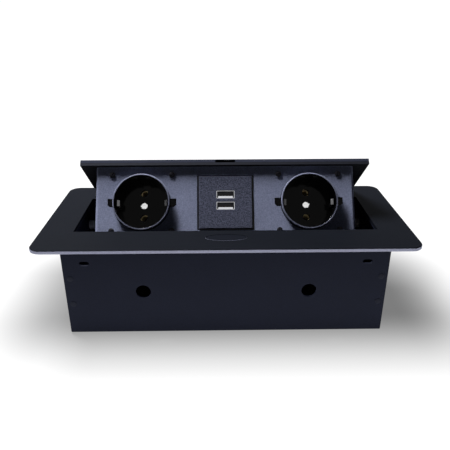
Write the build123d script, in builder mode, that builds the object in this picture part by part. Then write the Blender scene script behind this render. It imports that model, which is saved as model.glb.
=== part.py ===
"""In-desk power module with a pop-up socket carriage.

A flat flange sits on the desk and carries a folded steel box below it. Inside the box a
carriage swings on two pins: its lid closes flush with the flange, and when it opens the
panel under the lid turns two earthed sockets and a double charging port to the user.
A push plate in the front border draws back a latch slide that holds the lid down.

X runs along the front, Y away from the user and Z up. The origin is on the resting face
of the box, below the middle of the flange. The carriage is modelled open, at its stop.
"""
import os
from math import cos, radians, sin, tan

from build123d import *

os.makedirs("parts", exist_ok=True)

# Desk flange: a plate with a rectangular opening
FLANGE_THICKNESS = 2.5
FLANGE_CORNER_RADIUS = 8.5
FLANGE_EDGE_RADIUS = 0.7
FLANGE_TOP = 81.0
COVER_SWING_MARGIN = 26.4
FRONT_BORDER = 29.6
BACK_BORDER = 26.8
END_BORDER = 23.95

# Folded box below the flange
BOX_END_MARGIN = 8.8
BOX_FRONT_MARGIN = 8.8
BOX_BACK_MARGIN = 17.8
SHEET = 1.5
BEND = 1.0
LIP_SETBACK = 1.0
TAB_DEPTH = 8.4
TAB_RELIEF = 6.0
RIVET_DIAMETER = 3.2
RIVET_HEAD_DIAMETER = 4.6
RIVET_HEAD_HEIGHT = 0.5
RIVET_TAPER = 35
RIVET_INSET = 4.6
RIVET_DEPTHS = (33.5, 54.8)
CABLE_HOLE_DIAMETER = 11.0
CABLE_HOLE_SPACING = 121.4
CABLE_HOLE_DEPTH = 44.9
SLOT_LENGTH = 7.2
SLOT_WIDTH = 3.4
SLOT_INSET = 15.95
SLOT_DEPTH = 21.2

# Carriage pivot and lid
PIVOT_BEHIND_OPENING = 9.8
PIVOT_DEPTH = 27.8
OPEN_ANGLE = 41.5
LID_FRONT_GAP = 0.7
LID_SIDE_GAP = 1.0
LID_BACK_GAP = 2.6
COVER_THICKNESS = 2.5
COVER_BEVEL = 5.0
COVER_BACK_EDGE = 0.6
BACKING_THICKNESS = 2.0
BACKING_BACK_STEP = 14.0
NOTCH_WIDTH = 14.8
NOTCH_DEPTH = 4.0
NOTCH_SKIN = 0.5

# Pivot pins, sleeves and torsion springs
PIN_DIAMETER = 5.0
RUNNING_CLEARANCE = 0.03
PIN_HEAD_DIAMETER = 10.0
PIN_HEAD_HEIGHT = 1.6
PIN_END_LENGTH = 3.4
PIN_CHAMFER = 0.5
SLEEVE_DIAMETER = 8.0
END_PLAY = 0.2
CLIP_DIAMETER = 9.0
CLIP_THICKNESS = 0.8
CLIP_GAP = 0.15
CLIP_MOUTH = 4.0
BOSS_RADIUS = 5.7
SPRING_WIRE = 1.3
SPRING_MEAN_RADIUS = 4.95
SPRING_TURNS = 5
SPRING_PITCH = 1.7
SPRING_LEG = 12.0
SPRING_END_GAP = 7.8
SPRING_TIP_CLEARANCE = 0.15
BUMPER_DIAMETER = 9.0
BUMPER_HEIGHT = 2.0
BUMPER_EDGE_RADIUS = 0.7
BUMPER_ABOVE_PIVOT = 15.0
STOP_GAP = 0.3
STOP_HALF_HEIGHT = 5.0

# Socket panel: front panel, two cheeks, bottom lip and top tabs
PANEL_END_GAP = 12.45
PANEL_SETBACK = 3.0
PANEL_ANGLE = 81.5
PANEL_SHEET = 2.0
PANEL_BEND = 2.4
PANEL_LIP = 9.0
CHEEK_LID_LENGTH = 31.0
CHEEK_BORDER_GAP = 1.8
TAB_WIDTH = 12.0
TAB_START = 10.0
TAB_SCREW_INSET = 5.0
CARRIER_COVER_GAP = 2.1
COVER_SHEET = 1.2
COVER_TOP_GAP = 0.6
COVER_TAB = 8.0
COVER_TAB_HEIGHT = 30.0
COVER_SCREW_PITCH = 20.0

# Earthed sockets
SOCKET_TO_USB = 12.5
RING_RADIUS = 20.95
RING_WALL = 1.45
RING_TOP_MARGIN = 6.35
RING_HEIGHT = 5.0
RING_EDGE_RADIUS = 0.6
DISH_DEPTH = 17.5
DISH_FLOOR = 2.4
HOLE_CLEARANCE = 0.2
EAR_REACH = 4.25
EAR_HEIGHT = 6.0
EAR_CHAMFER = 1.6
EAR_SLOT_GAP = 0.15
LEDGE_WIDTH = 1.8
LEDGE_NOTCH = 6.3
LEDGE_DROP = 1.6
PIN_SPACING = 19.0
PIN_HOLE_DIAMETER = 5.2
PLATE_SIDE_MARGIN = 0.8
PLATE_TOP_MARGIN = 3.65
PLATE_END_MARGIN = 8.3
PLATE_FOOT_MARGIN = 7.1
PLATE_THICKNESS = 3.0
PLATE_SCREW_INSET_X = 3.9
PLATE_SCREW_INSET_Y = 3.6
CARRIER_MARGIN = 0.9
CARRIER_DEPTH = 19.0
CENTRE_SCREW_HEAD = 5.2
CENTRE_SCREW_LENGTH = 13.4
SLEEVE_BORE = 4.9
SLEEVE_WALL = 0.7
SLEEVE_LENGTH = 13.0
SLEEVE_RECESS = 3.0
SLIT = 1.2
CHAMBER_CLEARANCE = 0.15
CLIP_STRIP_WIDTH = 4.4
CLIP_STRIP = 0.8
CLIP_INSET = 1.0
CLIP_BULGE = 1.5
CLIP_TIP_DROP = 4.6
CLIP_SLOT_GAP = 0.25

# Charging module
WINDOW_SIDE_GAP = 1.4
WINDOW_TOP_GAP = 1.0
BEZEL_WIDTH = 39.4
BEZEL_HEIGHT = 39.4
BEZEL_PROUD = 0.9
BEZEL_EDGE_RADIUS = 0.5
PORT_RISE = 1.7
PORT_PITCH = 8.4
PORT_WIDTH = 13.6
PORT_HEIGHT = 6.0
PORT_SHELL = 0.4
PORT_DEPTH = 14.0
PORT_GAP = 0.1
TONGUE_WIDTH = 11.1
TONGUE_THICKNESS = 1.9
TONGUE_RECESS = 1.1
TONGUE_ABOVE_MIDDLE = 0.9
USB_WALL = 1.6
USB_FLANGE = 2.2
USB_DEPTH = 24.0
BOARD_THICKNESS = 1.6
BOARD_GAP = 0.3

# Push plate and latch
BUTTON_LENGTH = 29.6
BUTTON_WIDTH = 10.2
BUTTON_SETBACK = 18.4
BUTTON_GAP = 0.25
BUTTON_TRAVEL = 1.6
BUTTON_EDGE_RADIUS = 0.4
SKIRT_THICKNESS = 0.8
SKIRT_MARGIN = 1.0
SKIRT_GAP = 0.1
LEG_OFFSET = 9.0
LEG_WIDTH = 3.0
LEG_THICKNESS = 1.5
LEG_TO_BOX = 0.4
SLIDE_THICKNESS = 1.8
SLIDE_WIDTH = 32.0
SLIDE_GAP = 0.1
RAMP_GAP = 0.1
WINDOW_GAP = 0.3
TONGUE_REACH = 1.4
TONGUE_PLATE = 1.1
LATCH_TONGUE_WIDTH = 13.4
TONGUE_CHAMFER = 0.7
POCKET_CLEARANCE = 0.3
RISER_THICKNESS = 1.5
GUIDE_WALL = 0.8
GUIDE_EAR = 7.0
GUIDE_SCREW_BITE = 1.9
LATCH_SPRING_RADIUS = 0.7
LATCH_SPRING_WIRE = 0.3
LATCH_SPRING_TURNS = 6
SPRING_SLOT_WIDTH = 2.4
SPRING_SLOT_LENGTH = 4.0

# Cable bushing, terminal block and small screws
BUSHING_X = 70.0
BUSHING_HEIGHT = 22.0
BUSHING_BORE_RADIUS = 4.2
BUSHING_BODY_RADIUS = 7.6
BUSHING_FLANGE_RADIUS = 10.5
BUSHING_FLANGE = 2.4
BUSHING_NOSE = 3.6
BUSHING_NOSE_TAPER = 12
BUSHING_INSIDE = 11.0
BUSHING_HOLE_CLEARANCE = 0.15
TERMINAL_LENGTH = 34.0
TERMINAL_WIDTH = 18.0
TERMINAL_BASE_HEIGHT = 9.0
TERMINAL_TOWER_HEIGHT = 6.0
TERMINAL_TOWER_WIDTH = 12.6
TERMINAL_TOWER_GAP = 1.0
TERMINAL_X = 20.0
TERMINAL_PITCH = 10.0
TERMINAL_BORE = 4.0
TERMINAL_BORE_HEIGHT = 6.3
TERMINAL_WALL_GAP = 3.0
TERMINAL_SCREW_GAP = 0.12
TERMINAL_SCREW_LENGTH = 6.75
TERMINAL_SCREW_BOTTOM = 0.75
SCREW_SHANK = 2.4
SCREW_HEAD = 4.2
SCREW_HEAD_HEIGHT = 1.3
SCREW_HOLE = 2.6
SCREW_ROUNDING = 0.45
SLOT_CUT = 0.6

# Sizes of one socket that follow from its ring
RING_INNER_RADIUS = RING_RADIUS - RING_WALL
LEDGE_CHORD = RING_INNER_RADIUS - LEDGE_WIDTH
CLIP_RADIUS = RING_INNER_RADIUS - CLIP_INSET
CARRIER_RADIUS = RING_INNER_RADIUS - CARRIER_MARGIN
EAR_SPAN = 2 * (RING_RADIUS + EAR_REACH)
PLATE_HALF_WIDTH = EAR_SPAN / 2 + PLATE_SIDE_MARGIN
PLATE_HALF_HEIGHT = RING_RADIUS + PLATE_TOP_MARGIN
PANEL_SCREW_X = PLATE_HALF_WIDTH - PLATE_SCREW_INSET_X
PANEL_SCREW_Y = PLATE_HALF_HEIGHT - PLATE_SCREW_INSET_Y
SOCKET_DROP = RING_RADIUS + RING_TOP_MARGIN

# Widths and depths from the inside out: window, panel, opening, box and flange
USB_WINDOW_WIDTH = BEZEL_WIDTH + 2 * WINDOW_SIDE_GAP
USB_WINDOW_HEIGHT = BEZEL_HEIGHT + 2 * WINDOW_TOP_GAP
SOCKET_SPACING = USB_WINDOW_WIDTH + 2 * (USB_FLANGE + SOCKET_TO_USB + PLATE_HALF_WIDTH)
PANEL_WIDTH = SOCKET_SPACING + 2 * (PLATE_HALF_WIDTH + PLATE_END_MARGIN)
PANEL_LENGTH = SOCKET_DROP + PLATE_HALF_HEIGHT + PLATE_FOOT_MARGIN
OPENING_WIDTH = PANEL_WIDTH + 2 * PANEL_END_GAP
FLANGE_WIDTH = OPENING_WIDTH + 2 * END_BORDER
COVER_SHELL_DEPTH = DISH_DEPTH - RING_HEIGHT + DISH_FLOOR + CARRIER_DEPTH + CARRIER_COVER_GAP + COVER_SHEET
OPENING_DEPTH = COVER_SHELL_DEPTH + COVER_SWING_MARGIN
FLANGE_DEPTH = FRONT_BORDER + OPENING_DEPTH + BACK_BORDER
BOX_WIDTH = OPENING_WIDTH + 2 * BOX_END_MARGIN
BOX_DEPTH = BOX_FRONT_MARGIN + OPENING_DEPTH + BOX_BACK_MARGIN
SLOT_SPACING = BOX_WIDTH - 2 * SLOT_INSET

# Places that follow from the driving sizes
FLANGE_FRONT = -FLANGE_DEPTH / 2
FLANGE_UNDERSIDE = FLANGE_TOP - FLANGE_THICKNESS
OPENING_FRONT = FLANGE_FRONT + FRONT_BORDER
OPENING_BACK = OPENING_FRONT + OPENING_DEPTH
BOX_FRONT = OPENING_FRONT - BOX_FRONT_MARGIN
BOX_BACK = BOX_FRONT + BOX_DEPTH
BOX_MIDDLE = (BOX_FRONT + BOX_BACK) / 2
END_INNER = BOX_WIDTH / 2 - SHEET
PIVOT_Y = OPENING_BACK + PIVOT_BEHIND_OPENING
PIVOT_Z = FLANGE_TOP - PIVOT_DEPTH
LID_THICKNESS = COVER_THICKNESS + BACKING_THICKNESS
LID_DEPTH = OPENING_DEPTH - LID_FRONT_GAP - LID_BACK_GAP
LID_WIDTH = OPENING_WIDTH - 2 * LID_SIDE_GAP
BUTTON_Y = FLANGE_FRONT + BUTTON_SETBACK
SIDES = {"left": -1, "right": 1}

# Levels and places of the push plate, the latch slide and its guide, from the top down
SKIRT_TOP = FLANGE_UNDERSIDE - SKIRT_GAP
SKIRT_BOTTOM = SKIRT_TOP - SKIRT_THICKNESS
SLIDE_TOP = SKIRT_BOTTOM - BUTTON_TRAVEL - SLIDE_GAP
SLIDE_BOTTOM = SLIDE_TOP - SLIDE_THICKNESS
GUIDE_BOTTOM = SLIDE_BOTTOM - SLIDE_GAP - GUIDE_WALL
POCKET_DEPTH = TONGUE_PLATE + 2 * SKIRT_GAP
LEG_TIP = SLIDE_BOTTOM + SLIDE_GAP
LEG_RUN = SKIRT_BOTTOM - LEG_TIP
LEG_REAR = BOX_FRONT - LEG_TO_BOX
LEG_FRONT = LEG_REAR - LEG_THICKNESS - LEG_RUN
SKIRT_FRONT = BUTTON_Y - BUTTON_WIDTH / 2 - SKIRT_MARGIN
SKIRT_REAR = BUTTON_Y + BUTTON_WIDTH / 2 + SKIRT_MARGIN
GUIDE_FRONT = SKIRT_FRONT - WINDOW_GAP
SLIDE_FRONT = GUIDE_FRONT + BUTTON_TRAVEL + WINDOW_GAP
RISER_FRONT = SKIRT_REAR + BUTTON_TRAVEL + 2 * SLIDE_GAP
SLIDE_BACK = RISER_FRONT + RISER_THICKNESS
TONGUE_BOTTOM = FLANGE_TOP - COVER_THICKNESS + SKIRT_GAP
TONGUE_END = OPENING_FRONT + TONGUE_REACH
SPRING_SEAT = SLIDE_FRONT + SPRING_SLOT_LENGTH
SLIDE_MIDDLE = (SLIDE_TOP + SLIDE_BOTTOM) / 2
GUIDE_INNER = SLIDE_WIDTH / 2 + SLIDE_GAP
GUIDE_SCREW_X = GUIDE_INNER + GUIDE_WALL + GUIDE_EAR / 2
GUIDE_SCREW_Y = (GUIDE_FRONT + BOX_FRONT) / 2


def swung_open(y, z):
    """Where a point of the closed carriage lies once the carriage is open."""
    turn = radians(OPEN_ANGLE)
    dy, dz = y - PIVOT_Y, z - PIVOT_Z
    return PIVOT_Y + dy * cos(turn) + dz * sin(turn), PIVOT_Z - dy * sin(turn) + dz * cos(turn)


# The lid plane lies on the lid's underside at its front edge, with Y to the back of the lid
LID_Y, LID_Z = swung_open(OPENING_FRONT + LID_FRONT_GAP, FLANGE_TOP - LID_THICKNESS)
LID = Plane(
    origin=(0, LID_Y, LID_Z),
    x_dir=(1, 0, 0),
    z_dir=(0, sin(radians(OPEN_ANGLE)), cos(radians(OPEN_ANGLE))),
)

# The panel plane lies on the panel's face at its top edge, with Y up the panel
PANEL_FALL = radians(OPEN_ANGLE + PANEL_ANGLE)
PANEL = Plane(
    origin=LID.from_local_coords((0, PANEL_SETBACK, 0)),
    x_dir=(1, 0, 0),
    z_dir=(0, -sin(PANEL_FALL), -cos(PANEL_FALL)),
)


def panel_plane(x, y, height=0.0):
    """A plane parallel to the panel's face, from a point on it and a height above it."""
    return Plane(origin=PANEL.from_local_coords((x, y, height)), x_dir=(1, 0, 0), z_dir=PANEL.z_dir)


def side_point(plane, y, z=0.0):
    """The world Y and Z of a point given on one of the carriage's planes."""
    point = plane.from_local_coords((0, y, z))
    return point.Y, point.Z


def save(part, name):
    """Name a finished piece and write it."""
    part.label = name
    export_step(part, f"parts/{name}.step")


def slotted_screw(plane, head_diameter, head_height, shank_diameter, shank_length):
    """A domed screw with a straight slot, its head seated on the plane."""
    with BuildPart() as screw:
        with BuildSketch(plane):
            Circle(head_diameter / 2)
        extrude(amount=head_height)
        outward = Axis(plane.origin, plane.z_dir)
        fillet(screw.edges().sort_by(outward)[-1], head_height * SCREW_ROUNDING)
        with BuildSketch(plane):
            Circle(shank_diameter / 2)
        extrude(amount=-shank_length)
        with BuildSketch(plane.offset(head_height)):
            Rectangle(head_diameter, SLOT_CUT)
        extrude(amount=-head_height * SCREW_ROUNDING, mode=Mode.SUBTRACT)
    return screw.part


def group_of(parts):
    """Several like solids as one node."""
    return Compound(children=list(parts))


# Desk flange
with BuildPart() as desk_flange:
    with BuildSketch(Plane.XY.offset(FLANGE_UNDERSIDE)):
        RectangleRounded(FLANGE_WIDTH, FLANGE_DEPTH, FLANGE_CORNER_RADIUS)
    extrude(amount=FLANGE_THICKNESS)
    fillet(desk_flange.faces().sort_by(Axis.Z)[-1].outer_wire().edges(), FLANGE_EDGE_RADIUS)
    with BuildSketch(Plane.XY.offset(FLANGE_UNDERSIDE)):
        with Locations((0, (OPENING_FRONT + OPENING_BACK) / 2)):
            Rectangle(OPENING_WIDTH, OPENING_DEPTH)
        with Locations((0, BUTTON_Y)):
            Ellipse(BUTTON_LENGTH / 2, BUTTON_WIDTH / 2)
    extrude(amount=FLANGE_THICKNESS, mode=Mode.SUBTRACT)
    with BuildSketch(Plane.XY.offset(FLANGE_UNDERSIDE)):
        with Locations((0, (BUTTON_Y + OPENING_FRONT) / 2)):
            Rectangle(LATCH_TONGUE_WIDTH + 2 * POCKET_CLEARANCE, OPENING_FRONT - BUTTON_Y)
    extrude(amount=POCKET_DEPTH, mode=Mode.SUBTRACT)
    with BuildSketch(Plane.XY.offset(FLANGE_UNDERSIDE)):
        for side in (-1, 1):
            with Locations((side * GUIDE_SCREW_X, GUIDE_SCREW_Y)):
                Circle(SCREW_SHANK / 2 + RUNNING_CLEARANCE)
    extrude(amount=GUIDE_SCREW_BITE, mode=Mode.SUBTRACT)
save(desk_flange.part, "desk_flange")

# Folded box: front wall, bottom and back wall in one sheet, with lips under the flange
HALF_SHEET = SHEET / 2
with BuildPart() as box_wrap:
    with BuildSketch(Plane.YZ.offset(-BOX_WIDTH / 2)):
        with BuildLine() as middle_line:
            FilletPolyline(
                (OPENING_FRONT - LIP_SETBACK, FLANGE_UNDERSIDE - HALF_SHEET),
                (BOX_FRONT + HALF_SHEET, FLANGE_UNDERSIDE - HALF_SHEET),
                (BOX_FRONT + HALF_SHEET, HALF_SHEET),
                (BOX_BACK - HALF_SHEET, HALF_SHEET),
                (BOX_BACK - HALF_SHEET, FLANGE_UNDERSIDE - HALF_SHEET),
                (OPENING_BACK + LIP_SETBACK, FLANGE_UNDERSIDE - HALF_SHEET),
                radius=BEND + HALF_SHEET,
            )
        trace(line_width=SHEET)
    extrude(amount=BOX_WIDTH)
    with BuildSketch(Plane.XZ.offset(-BOX_FRONT)):
        for side in (-1, 1):
            with Locations((side * CABLE_HOLE_SPACING / 2, FLANGE_TOP - CABLE_HOLE_DEPTH)):
                Circle(CABLE_HOLE_DIAMETER / 2)
            with Locations((side * SLOT_SPACING / 2, FLANGE_TOP - SLOT_DEPTH)):
                SlotOverall(SLOT_LENGTH, SLOT_WIDTH)
    extrude(amount=-SHEET, mode=Mode.SUBTRACT)
    with BuildSketch(Plane.XZ.offset(-BOX_FRONT)):
        for side in (-1, 1):
            for depth in RIVET_DEPTHS:
                with Locations((side * (BOX_WIDTH / 2 - RIVET_INSET), FLANGE_TOP - depth)):
                    Circle(RIVET_DIAMETER / 2)
    extrude(amount=-BOX_DEPTH, mode=Mode.SUBTRACT)
    with BuildSketch(Plane.XZ.offset(-BOX_BACK)):
        with Locations((BUSHING_X, BUSHING_HEIGHT)):
            Circle(BUSHING_BODY_RADIUS + BUSHING_HOLE_CLEARANCE)
    extrude(amount=SHEET, mode=Mode.SUBTRACT)
    with BuildSketch(Plane.XY.offset(FLANGE_UNDERSIDE)):
        with Locations((0, (BOX_FRONT + OPENING_FRONT) / 2)):
            Rectangle(2 * (GUIDE_INNER + GUIDE_WALL + GUIDE_EAR + SLIDE_GAP), OPENING_FRONT - BOX_FRONT)
    extrude(amount=GUIDE_BOTTOM - SLIDE_GAP - FLANGE_UNDERSIDE, mode=Mode.SUBTRACT)
save(box_wrap.part, "box_wrap")

# End plates: a sheet with tabs folded in along all four edges
PIN_HOLE_RADIUS = PIN_DIAMETER / 2 + RUNNING_CLEARANCE
SPRING_TIP_RADIUS = SPRING_WIRE / 2 + SPRING_TIP_CLEARANCE
FIXED_ELBOW = (PIVOT_Y - SPRING_MEAN_RADIUS, PIVOT_Z - SPRING_LEG)
MOVING_ELBOW = (PIVOT_Y - SPRING_MEAN_RADIUS, PIVOT_Z + SPRING_LEG)

for name, side in SIDES.items():
    end_plane = Plane.YZ.offset(side * BOX_WIDTH / 2)
    inward = -side
    with BuildPart() as end_plate:
        with BuildSketch(end_plane):
            with Locations((BOX_MIDDLE, FLANGE_UNDERSIDE / 2)):
                RectangleRounded(BOX_DEPTH - 2 * SHEET, FLANGE_UNDERSIDE - 2 * SHEET, BEND)
        extrude(amount=inward * TAB_DEPTH)
        outer_face = end_plate.faces().sort_by(Axis.X)[0 if side < 0 else -1]
        fillet(outer_face.edges(), BEND)
        with BuildSketch(end_plane.offset(inward * SHEET)):
            with Locations((BOX_MIDDLE, FLANGE_UNDERSIDE / 2 + SHEET)):
                Rectangle(BOX_DEPTH - 4 * SHEET, FLANGE_UNDERSIDE - 2 * SHEET)
        extrude(amount=inward * (TAB_DEPTH - SHEET), mode=Mode.SUBTRACT)
        with BuildSketch(end_plane.offset(inward * (SHEET + BEND))):
            for y in (BOX_FRONT + SHEET, BOX_BACK - SHEET):
                for z in (SHEET, FLANGE_UNDERSIDE - SHEET):
                    with Locations((y, z)):
                        Rectangle(2 * TAB_RELIEF, 2 * TAB_RELIEF)
        extrude(amount=inward * TAB_DEPTH, mode=Mode.SUBTRACT)
        head_depth = OPENING_DEPTH + 2 * LIP_SETBACK - 2 * SLIDE_GAP
        with BuildSketch(end_plane):
            with Locations(((OPENING_FRONT + OPENING_BACK) / 2, FLANGE_UNDERSIDE - SHEET)):
                Rectangle(head_depth, 2 * SHEET)
        extrude(amount=inward * SHEET)
        with BuildSketch(end_plane):
            with Locations(((OPENING_FRONT + OPENING_BACK) / 2, FLANGE_UNDERSIDE - HALF_SHEET)):
                Rectangle(head_depth, SHEET)
        extrude(amount=inward * TAB_DEPTH)
        with BuildSketch(end_plane):
            with Locations((PIVOT_Y, PIVOT_Z)):
                Circle(PIN_HOLE_RADIUS)
            with Locations(FIXED_ELBOW):
                Circle(SPRING_TIP_RADIUS)
        extrude(amount=inward * SHEET, mode=Mode.SUBTRACT)
        with BuildSketch(Plane.XZ.offset(-BOX_FRONT)):
            for depth in RIVET_DEPTHS:
                with Locations((side * (BOX_WIDTH / 2 - RIVET_INSET), FLANGE_TOP - depth)):
                    Circle(RIVET_DIAMETER / 2)
        extrude(amount=-BOX_DEPTH, mode=Mode.SUBTRACT)
    save(end_plate.part, f"end_plate_{name}")

# Rivets through the wrap and the end plates' tabs, front and back
rivets = []
for side in (-1, 1):
    for depth in RIVET_DEPTHS:
        for wall, outward in ((BOX_FRONT, -1), (BOX_BACK, 1)):
            rivet_plane = Plane(
                origin=(side * (BOX_WIDTH / 2 - RIVET_INSET), wall, FLANGE_TOP - depth),
                x_dir=(1, 0, 0),
                z_dir=(0, outward, 0),
            )
            with BuildPart() as rivet:
                with BuildSketch(rivet_plane):
                    Circle(RIVET_HEAD_DIAMETER / 2)
                extrude(amount=RIVET_HEAD_HEIGHT, taper=RIVET_TAPER)
                with BuildSketch(rivet_plane):
                    Circle(RIVET_DIAMETER / 2)
                extrude(amount=-2 * SHEET)
                with BuildSketch(rivet_plane.offset(-2 * SHEET)):
                    Circle(RIVET_HEAD_DIAMETER / 2)
                extrude(amount=-RIVET_HEAD_HEIGHT)
            rivets.append(rivet.part)
save(group_of(rivets), "box_rivets")

# Lid: a cover plate over a backing plate
LID_FLOOR = LID.offset(BACKING_THICKNESS)
with BuildPart() as lid_cover:
    with BuildSketch(LID_FLOOR):
        with Locations((0, LID_DEPTH / 2)):
            Rectangle(LID_WIDTH, LID_DEPTH)
    extrude(amount=COVER_THICKNESS)
    with BuildSketch(LID_FLOOR):
        with Locations((0, NOTCH_DEPTH / 2)):
            Rectangle(NOTCH_WIDTH, NOTCH_DEPTH)
    extrude(amount=COVER_THICKNESS - NOTCH_SKIN, mode=Mode.SUBTRACT)
    with BuildSketch(Plane.YZ.offset(-LID_WIDTH / 2)):
        with BuildLine():
            Polyline(
                side_point(LID_FLOOR, LID_DEPTH - COVER_BEVEL),
                side_point(LID_FLOOR, LID_DEPTH, COVER_THICKNESS - COVER_BACK_EDGE),
                side_point(LID_FLOOR, LID_DEPTH + COVER_BEVEL),
                side_point(LID_FLOOR, LID_DEPTH - COVER_BEVEL),
            )
        make_face()
    extrude(amount=LID_WIDTH, mode=Mode.SUBTRACT)
save(lid_cover.part, "lid_cover")

LID_SCREW_ROWS = (TAB_START + TAB_SCREW_INSET, CHEEK_LID_LENGTH - TAB_SCREW_INSET)
LID_SCREW_X = PANEL_WIDTH / 2 - PANEL_SHEET - TAB_WIDTH / 2
with BuildPart() as lid_backing:
    with BuildSketch(LID):
        with Locations((0, (LID_DEPTH - BACKING_BACK_STEP) / 2)):
            Rectangle(LID_WIDTH, LID_DEPTH - BACKING_BACK_STEP)
        for side in (-1, 1):
            for row in LID_SCREW_ROWS:
                with Locations((side * LID_SCREW_X, row)):
                    Circle(SCREW_SHANK / 2 + RUNNING_CLEARANCE, mode=Mode.SUBTRACT)
    extrude(amount=BACKING_THICKNESS)
save(lid_backing.part, "lid_backing")

# Socket panel
CHEEK_OUTER = PANEL_WIDTH / 2
STOP_FACE = BOX_BACK - SHEET - BUMPER_HEIGHT - STOP_GAP
BUMPER_Z = PIVOT_Z + BUMPER_ABOVE_PIVOT
BORDER_CLEAR_Y = OPENING_BACK - CHEEK_BORDER_GAP
LIP_UNDERSIDE = FLANGE_UNDERSIDE - SHEET
WINDOW_MIDDLE = panel_plane(0, -SOCKET_DROP)
COVER_FLOOR = -PANEL_LENGTH + PANEL_SHEET
COVER_HEAD = -COVER_SHELL_DEPTH / tan(radians(PANEL_ANGLE)) - COVER_TOP_GAP
COVER_TAB_MIDDLE = (COVER_FLOOR + COVER_HEAD) / 2
COVER_SCREW_LEVEL = COVER_TAB / 2 - COVER_SHELL_DEPTH


def socket_plane(side, height=0.0):
    """The plane of one socket, centred on its ring."""
    return panel_plane(side * SOCKET_SPACING / 2, -SOCKET_DROP, height)


def screw_places():
    """The four small screws round a socket, on the socket's plane."""
    return [(x, y) for x in (-PANEL_SCREW_X, PANEL_SCREW_X) for y in (-PANEL_SCREW_Y, PANEL_SCREW_Y)]


def ear_outline(gap):
    """The bar of the two ears, with its lower outer corners cut off."""
    reach = EAR_SPAN / 2 + gap
    half = EAR_HEIGHT / 2 + gap
    Polygon(
        (-reach, half),
        (-reach, -half + EAR_CHAMFER),
        (-reach + EAR_CHAMFER, -half),
        (reach - EAR_CHAMFER, -half),
        (reach, -half + EAR_CHAMFER),
        (reach, half),
        align=None,
    )


with BuildPart() as socket_panel:
    with BuildSketch(PANEL):
        with Locations((0, -PANEL_LENGTH / 2)):
            Rectangle(PANEL_WIDTH, PANEL_LENGTH)
    extrude(amount=-PANEL_SHEET)
    with BuildSketch(panel_plane(0, -PANEL_LENGTH)):
        with Locations((0, PANEL_SHEET / 2)):
            Rectangle(PANEL_WIDTH, PANEL_SHEET)
    extrude(amount=-PANEL_LIP)
    for side in (-1, 1):
        with BuildSketch(Plane.YZ.offset(side * CHEEK_OUTER)):
            with BuildLine():
                panel_foot = side_point(PANEL, -PANEL_LENGTH)
                boss_back = (PIVOT_Y + BOSS_RADIUS, PIVOT_Z)
                boss_foot = (PIVOT_Y, PIVOT_Z - BOSS_RADIUS)
                Polyline(
                    boss_foot,
                    side_point(PANEL, -PANEL_LENGTH, -COVER_SHELL_DEPTH),
                    panel_foot,
                    side_point(PANEL, 0),
                    side_point(LID, PANEL_SETBACK + CHEEK_LID_LENGTH),
                    (BORDER_CLEAR_Y, FLANGE_TOP),
                    (BORDER_CLEAR_Y, LIP_UNDERSIDE - CHEEK_BORDER_GAP),
                    (STOP_FACE, BUMPER_Z + STOP_HALF_HEIGHT),
                    (STOP_FACE, BUMPER_Z - STOP_HALF_HEIGHT),
                    boss_back,
                )
                RadiusArc(boss_back, boss_foot, BOSS_RADIUS)
            make_face()
            for row in (-1, 1):
                screw_row = COVER_TAB_MIDDLE + row * COVER_SCREW_PITCH / 2
                with Locations(side_point(PANEL, screw_row, COVER_SCREW_LEVEL)):
                    Circle(SCREW_HOLE / 2, mode=Mode.SUBTRACT)
        extrude(amount=-side * PANEL_SHEET)
    front_folds = socket_panel.edges().filter_by(
        lambda edge: edge.geom_type == GeomType.LINE
        and abs(abs(edge.center().X) - CHEEK_OUTER) < 0.01
        and abs(PANEL.to_local_coords(edge.center()).Z) < 0.01
        and edge.length > PANEL_LENGTH / 2
    )
    fillet(front_folds, PANEL_BEND)
    with BuildSketch(LID):
        for side in (-1, 1):
            with Locations((side * (CHEEK_OUTER - TAB_WIDTH / 2), (TAB_START + CHEEK_LID_LENGTH) / 2)):
                Rectangle(TAB_WIDTH, CHEEK_LID_LENGTH - TAB_START)
    extrude(amount=-PANEL_SHEET)
    with BuildSketch(LID):
        for side in (-1, 1):
            for row in LID_SCREW_ROWS:
                with Locations((side * LID_SCREW_X, row)):
                    Circle(SCREW_HOLE / 2)
    extrude(amount=-PANEL_SHEET, mode=Mode.SUBTRACT)
    with BuildSketch(LID):
        with Locations((0, LID_DEPTH / 2)):
            Rectangle(LID_WIDTH, LID_DEPTH)
    extrude(amount=LID_THICKNESS, mode=Mode.SUBTRACT)
    for side in (-1, 1):
        with BuildSketch(socket_plane(side)):
            Circle(RING_RADIUS + HOLE_CLEARANCE)
            ear_outline(EAR_SLOT_GAP)
            with Locations(screw_places()):
                Circle(SCREW_HOLE / 2)
        extrude(amount=-PANEL_SHEET, mode=Mode.SUBTRACT)
    with BuildSketch(WINDOW_MIDDLE):
        Rectangle(USB_WINDOW_WIDTH, USB_WINDOW_HEIGHT)
    extrude(amount=-PANEL_SHEET, mode=Mode.SUBTRACT)
    with BuildSketch(Plane.YZ.offset(-BOX_WIDTH / 2)):
        with Locations((PIVOT_Y, PIVOT_Z)):
            Circle(PIN_HOLE_RADIUS)
        with Locations(MOVING_ELBOW):
            Circle(SPRING_TIP_RADIUS)
    extrude(amount=BOX_WIDTH, mode=Mode.SUBTRACT)
save(socket_panel.part, "socket_panel")

# Screws that hold the panel's tabs to the lid, driven from below
lid_screws = []
for side in (-1, 1):
    for row in LID_SCREW_ROWS:
        place = LID.from_local_coords((side * LID_SCREW_X, row, -PANEL_SHEET))
        screw_plane = Plane(origin=place, x_dir=(1, 0, 0), z_dir=-LID.z_dir)
        lid_screws.append(
            slotted_screw(
                screw_plane, SCREW_HEAD, SCREW_HEAD_HEIGHT, SCREW_SHANK, PANEL_SHEET + BACKING_THICKNESS
            )
        )
save(group_of(lid_screws), "lid_screws")

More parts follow.
